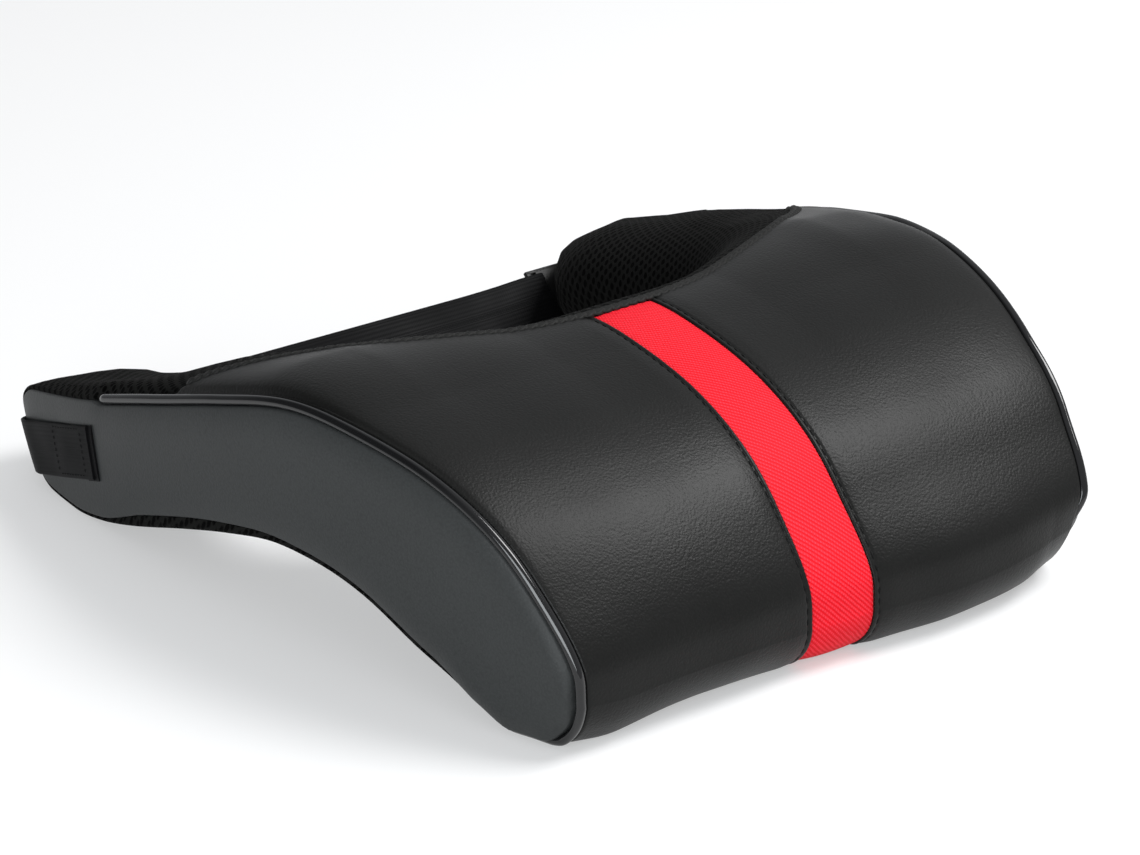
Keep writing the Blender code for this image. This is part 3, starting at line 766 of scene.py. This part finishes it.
def front_rows():
    """Rows of the front from the seam below to the seam on top, close together at both."""
    ends = np.array((0.0, 0.01, 0.03, 0.06, 0.10, 0.16, 0.30))
    middle = dense(-FRONT_ROWS + 0.5, SEAM_ROWS - 0.5, 0.25)
    return np.concatenate([-FRONT_ROWS + ends, middle, SEAM_ROWS - ends[::-1]])


def run_down(grid):
    """Distance of each point of a grid from the first row."""
    run = np.linalg.norm(np.diff(grid, axis=1), axis=-1)
    return np.concatenate([np.zeros((len(grid), 1)), np.cumsum(run, axis=1)], axis=1)


def edge_drop(grid):
    """Drop of each point of a grid near the first and last rows."""
    run = run_down(grid)
    return fold_drop(run) + fold_drop(run[:, -1:] - run)


def front_panel(name, sign, material, node):
    """Leather between the stripe and a side, with a turned and stitched edge along the stripe."""
    start = STRIPE_U + SEWN_GAP / (FRONT_WIDTH / 2)
    near = np.array((0, 0.08, 0.25, 0.5, 0.8, 1.2, 1.6, 2.0, 2.4, 2.9, 3.5, 4.5)) * 1e-3
    near /= FRONT_WIDTH / 2
    outer = (0.95, 0.965, 0.978, 0.988, 0.995, 1.0)
    us = np.concatenate([start + near, dense(start + 0.055, 0.93, 0.016), outer])
    vs = front_rows()
    grid = cover_grid(us, vs, right=True)
    from_stripe = grid[..., 0] - grid[:1, :, 0]
    drop = fold_drop(from_stripe) + edge_drop(grid)
    groove = 0.00045 * np.exp(-(((from_stripe - STITCH_EDGE) / 0.00055) ** 2))
    puff = 0.0005 * smooth_step(from_stripe, STITCH_EDGE, 0.008)
    grid = grid + normals_of(grid) * (puff - drop - groove)[..., None]
    if sign < 0:
        grid = grid[::-1] * MIRROR
    grid[..., 2] = np.maximum(grid[..., 2], LOWEST)
    piece = shell(name, grid, LEATHER, material)
    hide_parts(node)


def stripe(material):
    us = np.linspace(-STRIPE_U, STRIPE_U, 15)
    vs = front_rows()
    grid = skin(us[:, None], vs[None])
    run = np.tile(run_of(grid[7]), (len(us), 1))
    uv = np.stack([grid[..., 0], run], axis=-1)
    belly = 0.0005 * (1 - (us / STRIPE_U) ** 2)
    drop = STRIPE_DEPTH - belly[:, None] + edge_drop(grid)
    grid = grid - normals_of(grid) * drop[..., None]
    piece = shell("stripe_red", grid, FABRIC, material, uv)
    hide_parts("centre_stripe")


def mesh_rows():
    """Rows of the mesh from the seam on top over the inner edge to the seam below."""
    ends = np.array((0.0, 0.03, 0.08, 0.15, 0.3))
    above = np.concatenate([SEAM_ROWS + ends, dense(SEAM_ROWS + 0.5, EDGE_ROWS - 0.15, 0.22)])
    below = dense(-EDGE_ROWS + 0.15, -FRONT_ROWS - 0.5, 0.25)
    return np.concatenate([above, [EDGE_ROWS], below, -FRONT_ROWS - ends[::-1]])


def mesh_cover(material):
    outer = (0.95, 0.963, 0.974, 0.983, 0.990, 0.996, 1.0)
    us = np.concatenate([dense(0, 0.935, 0.0125), outer])
    us = np.concatenate([-us[:0:-1], us])
    vs = mesh_rows()
    grid = cover_grid(us, vs, left=True, right=True)
    down = run_down(grid)
    middle = len(grid) // 2
    along = run_down(grid.transpose(1, 0, 2)).T
    uv = np.stack([along - along[middle], down], axis=-1)
    grid = grid - normals_of(grid) * edge_drop(grid)[..., None]
    grid[..., 2] = np.maximum(grid[..., 2], LOWEST)
    piece = shell("mesh_cover", grid, FABRIC, material, uv)
    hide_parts("mesh_panel")


# Side panels and piping


def side_notches(y, top):
    """How far a side panel stays back from the outline of the side."""
    inset, radius, rise = wrap_sizes(y, top)
    beside = (inset - SEAM_EDGE) / (UNDER_PIPING - SEAM_EDGE)
    hangs = np.where(top, 0.0, smooth_step(y, 0.003, 0.014))
    return beside * UNDER_PIPING * (1 - 0.85 * hangs) + (1 - beside) * (rise + 0.0003)


def side_puff(y, below, above):
    """How far a side panel stands out at these distances from its lower and upper ends."""
    limit = np.interp(y, [0.235, 0.285], [SIDE_PUFF, 0.30 * SIDE_PUFF])
    rest = LENGTH - y
    swell = 1.0
    for distance in (below, above, rest):
        swell = swell * (1 - (1 - np.clip(distance / PUFF_REACH, 0, 1)) ** 2.4)
    return limit * swell


def side_leather(name, sign, material, node):
    nose, tip = (0.0, 0.12, 0.3, 0.6, 1.0), (25.8, 26.1, 26.4, 26.6, 26.8, 26.92, 27.0)
    vs = np.concatenate([nose, dense(1.3, 25.5, 0.3), tip])
    low, low_normal = side_line(-vs)
    high, high_normal = side_line(vs)
    low = low - low_normal * side_notches(low[:, 1], False)[:, None]
    high = high - high_normal * side_notches(high[:, 1], True)[:, None]
    tall = np.linalg.norm(high - low, axis=1)
    half = np.linspace(0, 1, 17) ** 2.2 / 2
    shares = np.concatenate([half, 1 - half[-2::-1]])
    grid = low[:, None] + (high - low)[:, None] * shares[None, :, None]
    below = tall[:, None] * shares
    above = tall[:, None] - below
    y = grid[..., 1]
    # Under the nose the panel covers the piping.
    over = hill(y, 0.002, 0.014, 0.040, 0.062) * fade(below, 0.004, 0.020)
    grid[..., 0] = half_width(y) + side_puff(y, below, above) + 0.0016 * over
    grid[..., 0] -= fold_drop(below) + fold_drop(above)
    inner = grid.copy()
    inner[..., 0] -= LEATHER
    if sign < 0:
        grid, inner = grid * MIRROR, inner * MIRROR
    piece = shell(name, grid, LEATHER, material, inner=inner)
    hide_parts(node)


def side_surface(y, z):
    """X of the right side panel's outer face at this place."""
    top = np.interp(y, TOP_LINE[:, 0], TOP_LINE[:, 1])
    bottom = np.maximum(np.interp(y, BOTTOM_LINE[:, 0], BOTTOM_LINE[:, 1]), 0)
    below = np.maximum(z - bottom - side_notches(y, False), 0)
    above = np.maximum(top - z - side_notches(y, True), 0)
    return half_width(y) + side_puff(y, below, above)


def piping(name, sign, material, node):
    """Glossy cord with five shallow ribs, tapered at both ends."""
    vs = np.concatenate([dense(-8.2, -2.0, 0.12), dense(-1.9, 2.0, 0.06), dense(2.1, 22.0, 0.12)])
    place, normal = side_line(vs)
    path = place - normal * PIPING_INSET
    path[:, 0] = half_width(path[:, 1]) - PIPING_INSET
    first = np.argmax(path[:, 1] < PIPING_UNDER_Y)
    last = np.argmax((path[:, 1] > PIPING_END_Y) & (vs > 2))
    path = path[first:last]
    if sign > 0:  # the cover's round corner hides this end
        sunk = fade(path[:, 2], 0.014, 0.034)
        sunk *= fade(path[:, 1], 0.020, 0.040)
        path += sunk[:, None] * np.array((-0.0026, 0.0016, 0.0008))
    path, run = resampled(path, 0.0009)
    along = unit(np.gradient(path, axis=0))
    side = unit(np.array((1.0, 0.0, 0.0)) - along * along[:, :1])
    up = np.cross(side, along)
    left = np.minimum(run / 0.013, (run[-1] - run) / 0.0045)
    thick = np.sqrt(np.clip(1 - (1 - np.clip(left, 0, 1)) ** 2, 0.01, 1))
    turns = np.linspace(0, 2 * math.pi, 24, endpoint=False)
    ribs = 1 + 0.028 * np.cos(5 * turns)
    radius = PIPING_RADIUS * thick[:, None] * ribs[None] * 0.985
    rings = rings_round(path, side, up, radius * np.cos(turns), radius * np.sin(turns))
    rings[..., 2] = np.maximum(rings[..., 2], 0.0002)
    if sign < 0:
        rings = rings * MIRROR
    piece = tube(name, rings, material)
    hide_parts(node)


def filling(material):
    """The foam inside, moved with its covers and a little smaller than the solid one."""
    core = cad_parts["foam_core"]
    mesh = core.data
    points = np.array([tuple(core.matrix_world @ vertex.co) for vertex in mesh.vertices])
    normals = np.array([tuple(vertex.normal) for vertex in mesh.vertices])
    faces = [list(face.vertices) for face in mesh.polygons]
    points = points - NOSE - normals * FOAM_INSET
    piece = add_piece("foam_filling", points, faces, material)
    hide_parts("foam_core")


# Sewn detail


def capsules(name, spans, normals, radius, material):
    """Short lengths of thread from one point to another, sunk at both ends."""
    rings, sides = 7, 6
    points, faces = [], []
    for (start, end), normal in zip(spans, normals):
        along = unit(end - start)
        side = unit(np.cross(along, normal))
        up = np.cross(side, along)
        base = len(points)
        for ring in range(rings):
            share = ring / (rings - 1)
            thick = radius * max(math.sin(math.pi * share), 0.0) ** 0.4 + 1e-5
            arc = 0.9 * math.sin(math.pi * share) - 0.6
            centre = start + (end - start) * share + up * radius * arc
            for k in range(sides):
                angle = 2 * math.pi * k / sides
                points.append(centre + thick * (math.cos(angle) * side + math.sin(angle) * up))
        faces += tube_faces(rings, sides, base)
    add_piece(name, np.array(points), faces, material)


def stitches(path, normals, pitch, length):
    """Spans of thread along a path."""
    run = run_of(path)
    starts = np.arange(pitch / 2, run[-1] - length, pitch)
    spans, ups = [], []
    for start in starts:
        spans.append([at_run(path, run, place) for place in (start, start + length)])
        ups.append(at_run(normals, run, start + length / 2))
    return spans, ups


def topstitch(name, sign, material):
    vs = dense(-FRONT_ROWS + 0.2, SEAM_ROWS - 0.15, 0.1)
    u = sign * (STRIPE_U + (STITCH_EDGE + SEWN_GAP) / (FRONT_WIDTH / 2))
    step = np.array((-0.002, 0.0, 0.002))
    grid = skin(u + step[:, None], vs[None])
    normal = normals_of(grid)[1]
    path = grid[1] - normal * 0.00035
    path[:, 2] = np.maximum(path[:, 2], 0.0009)
    spans, ups = stitches(path, normal, STITCH_PITCH, STITCH_LENGTH)
    capsules(name, spans, ups, STITCH_RADIUS, material)


def braid(material):
    """The mesh's rolled edge along the top seam, a chain of slanting yarns."""
    outer = (0.94, 0.95, 0.96, 0.968, 0.975, 0.981, 0.987)
    us = np.concatenate([dense(0, 0.93, 0.01), outer])
    us = np.concatenate([-us[:0:-1], us])
    grid = cover_grid(us, SEAM_ROWS + np.array((0.05, 0.12, 0.19)))
    up = normals_of(grid)[:, 1]
    path = grid[:, 1] + up * 0.0002
    run = run_of(path)
    even = np.arange(0, run[-1], 0.0004)
    path, up = at_run(path, run, even), at_run(up, run, even)
    along = unit(np.gradient(path, axis=0))
    side = unit(np.cross(up, along))
    up = np.cross(along, side)
    turns = np.linspace(0, 2 * math.pi, 20, endpoint=False)
    across_share = np.cos(turns)
    phase = 2 * math.pi * even[:, None] / BRAID_PITCH
    slant = 2.4 * abs(across_share)[None] + math.pi * (across_share < 0)[None] * 0.9
    yarn = abs(np.cos(phase / 2 + slant)) ** 0.7
    groove = np.exp(-((across_share / 0.22) ** 2))[None]
    swell = (0.52 + 0.48 * yarn) * (1 - 0.35 * groove)
    end = np.minimum(even, even[-1] - even)
    taper = 1 - (1 - np.clip(end / 0.003, 0, 1)) ** 2
    swell = swell * np.sqrt(np.clip(taper, 0.01, 1))[:, None]
    wide, high = BRAID_HALF_WIDTH * across_share, BRAID_HALF_HEIGHT * np.sin(turns)
    rings = rings_round(path, side, up, swell * wide, swell * high)
    tube("seam_braid", rings, material)


# Strap and slider


def strap_frame():
    lean = np.array((0.0, math.sin(STRAP_LEAN), math.cos(STRAP_LEAN)))
    out = np.array((0.0, math.cos(STRAP_LEAN), -math.sin(STRAP_LEAN)))
    us = np.array((1.0, 0.965, 0.93, 0.89, 0.84))
    rows = np.arange(SEAM_ROWS, EDGE_ROWS + 1, dtype=float)
    tips = np.concatenate([skin(us[:, None], rows[None]), skin(us[:, None], -rows[None])])
    return lean, out, float((tips @ out).max()) + GAP + STRAP_THICKNESS / 2


STRAP_FRAME = strap_frame()


def strap_turn(x):
    """How far the strap leans from upright at x."""
    start, end = SLIDER_X - SLIDER_REACH, SLIDER_X + SLIDER_REACH
    return STRAP_LEAN + STRAP_TWIST * hill(x, -0.020, start, end, STRAP_END_X)


def strap_point(x, depth, offset):
    """Points of the strap at x, depth outward of its main layer, offset across its width."""
    lean, out, reach = STRAP_FRAME
    low = STRAP_CLEARANCE + STRAP_WIDTH / 2 * lean[2]
    along = (low - reach * out[2]) / lean[2]
    x, depth, offset = np.broadcast_arrays(np.asarray(x, float), depth, offset)
    turn = strap_turn(x)
    line = out * reach + lean * along
    drop = along_knots(x, STRAP_DROP)
    y = line[1] + np.cos(turn) * depth + np.sin(turn) * offset
    z = line[2] - np.sin(turn) * depth + np.cos(turn) * offset - drop
    return np.stack([x, y, z], axis=-1)


def tab_points(sign, shares, offsets, lift):
    """Points of a tab on a side panel, from its sewn end to the tip's corner."""
    _, corner_y, corner_z = strap_point(sign * STRAP_END_X, 0.0, 0.0)
    shares, offsets = shares[:, None], offsets[None]
    y = TAB_START_Y + (corner_y - TAB_START_Y) * shares
    z = corner_z + (corner_y - y) * math.tan(TAB_RISE)
    lean = TAB_LEAN + (STRAP_LEAN - TAB_LEAN) * np.clip(shares, 0, 1) ** 2
    y = y + np.sin(lean) * offsets
    z = z + np.cos(lean) * offsets
    return np.stack([sign * (side_surface(y, z) + lift), y, z], axis=-1)


def bar_depth():
    return SLIDER_THICKNESS / 2 + GAP + STRAP_THICKNESS / 2


def slider_bars():
    apart = SLIDER_MIDDLE / 2 + SLIDER_SLOT + SLIDER_BAR / 2
    return SLIDER_X - apart, SLIDER_X + apart


def ribbon(name, centre, thickness, material):
    """A strap whose middle face is the grid, rows across its width."""
    normal = normals_of(centre)
    rows = centre.shape[1]
    edge = np.ones(rows)
    edge[[0, -1]] = 0.35
    half = normal * (thickness / 2 * edge)[None, :, None]
    run = np.tile(run_of(centre[:, rows // 2])[:, None], (1, rows))
    width = np.tile(np.linspace(0, STRAP_WIDTH, rows), (len(centre), 1))
    uv = np.stack([run, width], axis=-1)
    return shell(name, centre + half, thickness, material, uv, inner=centre - half)


def strap(name, sign, bar_x, toward, material, node):
    """A strap from its tab round the tip to a bar of the slider, turned back and sewn there."""
    half = np.array((0.0, 0.04, 0.10, 0.22, 0.40, 0.60, 0.78, 0.90, 0.96, 1.0)) / 2 - 0.5
    offsets = np.concatenate([half, -half[-2::-1]]) * STRAP_WIDTH
    lift = STRAP_THICKNESS / 2 + TAB_LIFT
    tab = tab_points(sign, np.linspace(0, 0.93, 26), offsets, lift)
    depth = bar_depth()
    tail = SLIDER_BAR / 2 + TAIL_START
    xs = np.arange(sign * 0.1415, bar_x - toward * tail, -sign * 0.002)
    path = [(x, 0.0) for x in xs]
    path.append((bar_x - toward * SLIDER_BAR / 2, 0.0))
    for angle in np.linspace(0, math.pi, 11):
        reach = SLIDER_BAR / 2 + (GAP + STRAP_THICKNESS / 2) * math.sin(angle)
        path.append((bar_x + toward * reach, depth * (1 - math.cos(angle))))
    path.append((bar_x - toward * SLIDER_BAR / 2, 2 * depth))
    for extra in np.linspace(0, STRAP_TAIL, 9):
        path.append((bar_x - toward * (tail + extra), STRAP_THICKNESS + GAP))
    path = np.array(path)
    crossing = strap_point(path[:, :1], path[:, 1:], offsets[None])
    centre = np.concatenate([tab, crossing])
    corner = len(tab)
    for _ in range(6):
        part = centre[corner - 4 : corner + 4].copy()
        centre[corner - 3 : corner + 3] = (part[:-2] + 2 * part[1:-1] + part[2:]) / 4
    line = centre[:, len(offsets) // 2]
    near = np.exp(-((np.linalg.norm(line - line[corner], axis=1) / 0.012) ** 2))
    slack = STRAP_SLACK if sign < 0 else 0.3 * STRAP_SLACK
    centre += near[:, None, None] * np.array((0.8 * sign, 0.6, 0.0)) * slack
    if sign > 0:
        centre = centre[:, ::-1]
    piece = ribbon(name, centre, STRAP_THICKNESS, material)
    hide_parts(node)


def rounded_box(bm, done, size, place, turn, radius):
    """A box in bm with bevelled edges. Its corners join those of the boxes already done."""
    made = bmesh.ops.create_cube(bm, size=1.0)
    bmesh.ops.scale(bm, vec=size, verts=made["verts"])
    edges = list({edge for vert in made["verts"] for edge in vert.link_edges})
    shape = {"offset": radius, "segments": 3, "profile": 0.5, "affect": "EDGES"}
    bmesh.ops.bevel(bm, geom=edges, **shape)
    verts = [vert for vert in bm.verts if vert not in done]
    bmesh.ops.rotate(bm, cent=(0, 0, 0), matrix=turn, verts=verts)
    bmesh.ops.translate(bm, vec=place, verts=verts)
    done.update(verts)


def slider(material):
    """Moulded frame with three bars between two rails."""
    left, right = slider_bars()
    slot_length = STRAP_WIDTH + 2 * GAP
    wide = slot_length + 2 * SLIDER_RAIL
    turn = Matrix.Rotation(-float(strap_turn(SLIDER_X)), 3, "X")
    bm = bmesh.new()
    middle = Vector(strap_point(SLIDER_X, bar_depth(), 0.0).tolist())
    middle += Vector((0, 0, SLIDER_LIFT))
    plate = (left + right) / 2 + SLIDER_PLATE_SHIFT
    done = set()
    for x, size in ((left, SLIDER_BAR), (plate, SLIDER_PLATE), (right, SLIDER_BAR)):
        place = middle + Vector((x - SLIDER_X, 0, 0))
        rounded_box(bm, done, (size, SLIDER_THICKNESS, wide), place, turn, 0.0007)
    rail = right - left + SLIDER_BAR, SLIDER_THICKNESS, SLIDER_RAIL
    for sign in (-1, 1):
        offset = turn @ Vector((0, 0, sign * (slot_length + SLIDER_RAIL) / 2))
        rounded_box(bm, done, rail, middle + offset, turn, 0.0006)
    verts = list(bm.verts)
    index = {vert: k for k, vert in enumerate(verts)}
    points = [list(vert.co) for vert in verts]
    faces = [[index[vert] for vert in face.verts] for face in bm.faces]
    bm.free()
    piece = add_piece("slider", points, faces, material, moved=False)
    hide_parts("strap_slider")


def tab_detail(side, sign, tape, yarn):
    """Folded end below a tab, and the box of stitches that holds it."""
    offsets = np.linspace(-0.53, 0.50, 7) * STRAP_WIDTH
    under = tab_points(sign, np.linspace(-0.045, 0.10, 5), offsets, TAB_LIFT)
    if sign > 0:
        under = under[:, ::-1]
    ribbon("tab_fold_" + side, under, TAB_FOLD, tape)
    lift = STRAP_THICKNESS + TAB_LIFT
    low, high = -0.43 * STRAP_WIDTH, 0.43 * STRAP_WIDTH
    shares, offsets = np.linspace(0.10, 0.50, 9), np.linspace(low, high, 9)
    box = tab_points(sign, shares, offsets, lift)
    lines = [box[-1], box[0], box[:, 0], box[:, -1]]
    spans, ups = [], []
    for line in lines:
        up = np.tile((float(sign), 0.0, 0.0), (len(line), 1))
        more = stitches(line, up, TAB_STITCH_PITCH, TAB_STITCH_LENGTH)
        spans += more[0]
        ups += more[1]
    capsules("tab_stitches_" + side, spans, ups, TAB_STITCH_RADIUS, yarn)


# Stage, lights and camera


def area_light(name, place, target, size, power, colour):
    data = bpy.data.lights.new(name, "AREA")
    data.shape = "RECTANGLE"
    data.size, data.size_y = size
    data.energy = power
    data.color = colour
    light = add_object(name, data)
    light.location = place
    aim = Vector(target) - Vector(place)
    light.rotation_euler = aim.to_track_quat("-Z", "Y").to_euler()


def stage():
    mesh = bpy.data.meshes.new("floor")
    half = FLOOR_SIZE / 2
    corners = [(-half, -half, 0), (half, -half, 0), (half, half, 0), (-half, half, 0)]
    mesh.from_pydata(corners, [], [(0, 1, 2, 3)])
    floor = add_object("floor", mesh)
    look = Shader("floor_paper", FLOOR_COLOUR, 0.7)
    look.out("Specular IOR Level", 0.0)
    look.out("Emission Color", (1.0, 1.0, 1.0, 1.0))
    ray = look.node("LightPath", "Is Camera Ray").node.outputs
    seen = look.math("MAXIMUM", ray["Is Camera Ray"], ray["Is Glossy Ray"])
    look.out("Emission Strength", look.times(seen, FLOOR_GLOW))
    mesh.materials.append(look.material)

    world = bpy.data.worlds.new("studio")
    world.use_nodes = True
    nodes, links = world.node_tree.nodes, world.node_tree.links
    nodes["Background"].inputs["Color"].default_value = STUDIO_COLOUR
    toward = nodes.new("ShaderNodeVectorMath")
    toward.operation = "DOT_PRODUCT"
    links.new(nodes.new("ShaderNodeTexCoord").outputs["Generated"], toward.inputs[0])
    toward.inputs[1].default_value = STUDIO_DARK_SIDE
    shade = nodes.new("ShaderNodeMapRange")
    links.new(toward.outputs["Value"], shade.inputs[0])
    for index, value in enumerate(STUDIO_SHADE, 1):
        shade.inputs[index].default_value = value
    links.new(shade.outputs[0], nodes["Background"].inputs["Strength"])
    bpy.context.scene.world = world
    bpy.context.scene.view_settings.view_transform = "Standard"

    area_light("key", (0.72, -0.50, 1.25), (0, 0, 0.04), (0.7, 0.65), 19.4, (1.0, 1.0, 1.0))
    cool = (0.92, 0.97, 1.0)
    area_light("left", (-1.0, -0.70, 0.35), (-0.1, -0.05, 0.03), (0.7, 0.5), 8.5, cool)


def camera():
    level = math.cos(CAMERA_ELEVATION)
    ahead, aside = math.cos(CAMERA_AZIMUTH), math.sin(CAMERA_AZIMUTH)
    back = Vector((aside * level, -ahead * level, math.sin(CAMERA_ELEVATION)))
    right = Vector((ahead, aside, 0))
    up = back.cross(right)
    data = bpy.data.cameras.new("camera")
    data.sensor_fit = "HORIZONTAL"
    data.sensor_width = 36.0
    data.lens = CAMERA_LENS
    data.clip_end = 50.0
    made = add_object("camera", data)
    place = Matrix.Translation(CAMERA_PLACE)
    made.matrix_world = place @ Matrix((right, up, back)).transposed().to_4x4()
    bpy.context.scene.camera = made


def main():
    front = leather("front_leather", (0.0075, 0.0075, 0.0070), 0.40, 0.00012)
    # The side panels are the same black leather as the front. Their lighter, slightly blue base is
    # painted light, standing in for the sheen and floor reflection that the sides catch.
    side = leather("side_leather", (0.034, 0.036, 0.036), 0.44, 0.00007)
    mesh = air_mesh("mesh_fabric", (0.0100, 0.0100, 0.0094))
    rolled = thread("rolled_mesh", (0.022, 0.022, 0.021))
    gloss = patent("patent_piping", (0.006, 0.006, 0.0065))
    yarn = thread("black_thread", (0.005, 0.005, 0.005))
    band = webbing("strap_webbing", (0.0035, 0.0035, 0.004))
    tape = webbing("black_tape", (0.004, 0.004, 0.0045))

    camera()
    stage()
    front_panel("front_leather_left", -1, front, "front_panel_left")
    front_panel("front_leather_right", 1, front, "front_panel_right")
    stripe(woven("woven_red", (0.93, 0.016, 0.032)))
    mesh_cover(mesh)
    braid(rolled)
    left_bar, right_bar = slider_bars()
    for name, sign in (("left", -1), ("right", 1)):
        side_leather("side_leather_" + name, sign, side, "side_panel_" + name)
        piping("glossy_piping_" + name, sign, gloss, "piping_" + name)
        topstitch("topstitch_" + name, sign, yarn)
        tab_detail(name, sign, tape, yarn)
    strap("strap_left", -1, left_bar, 1, band, "strap_elastic")
    strap("strap_right", 1, right_bar, -1, band, "strap_anchor")
    slider(moulded("slider_plastic", (0.007, 0.007, 0.007)))
    filling(foam("foam", (0.80, 0.74, 0.56)))


main()
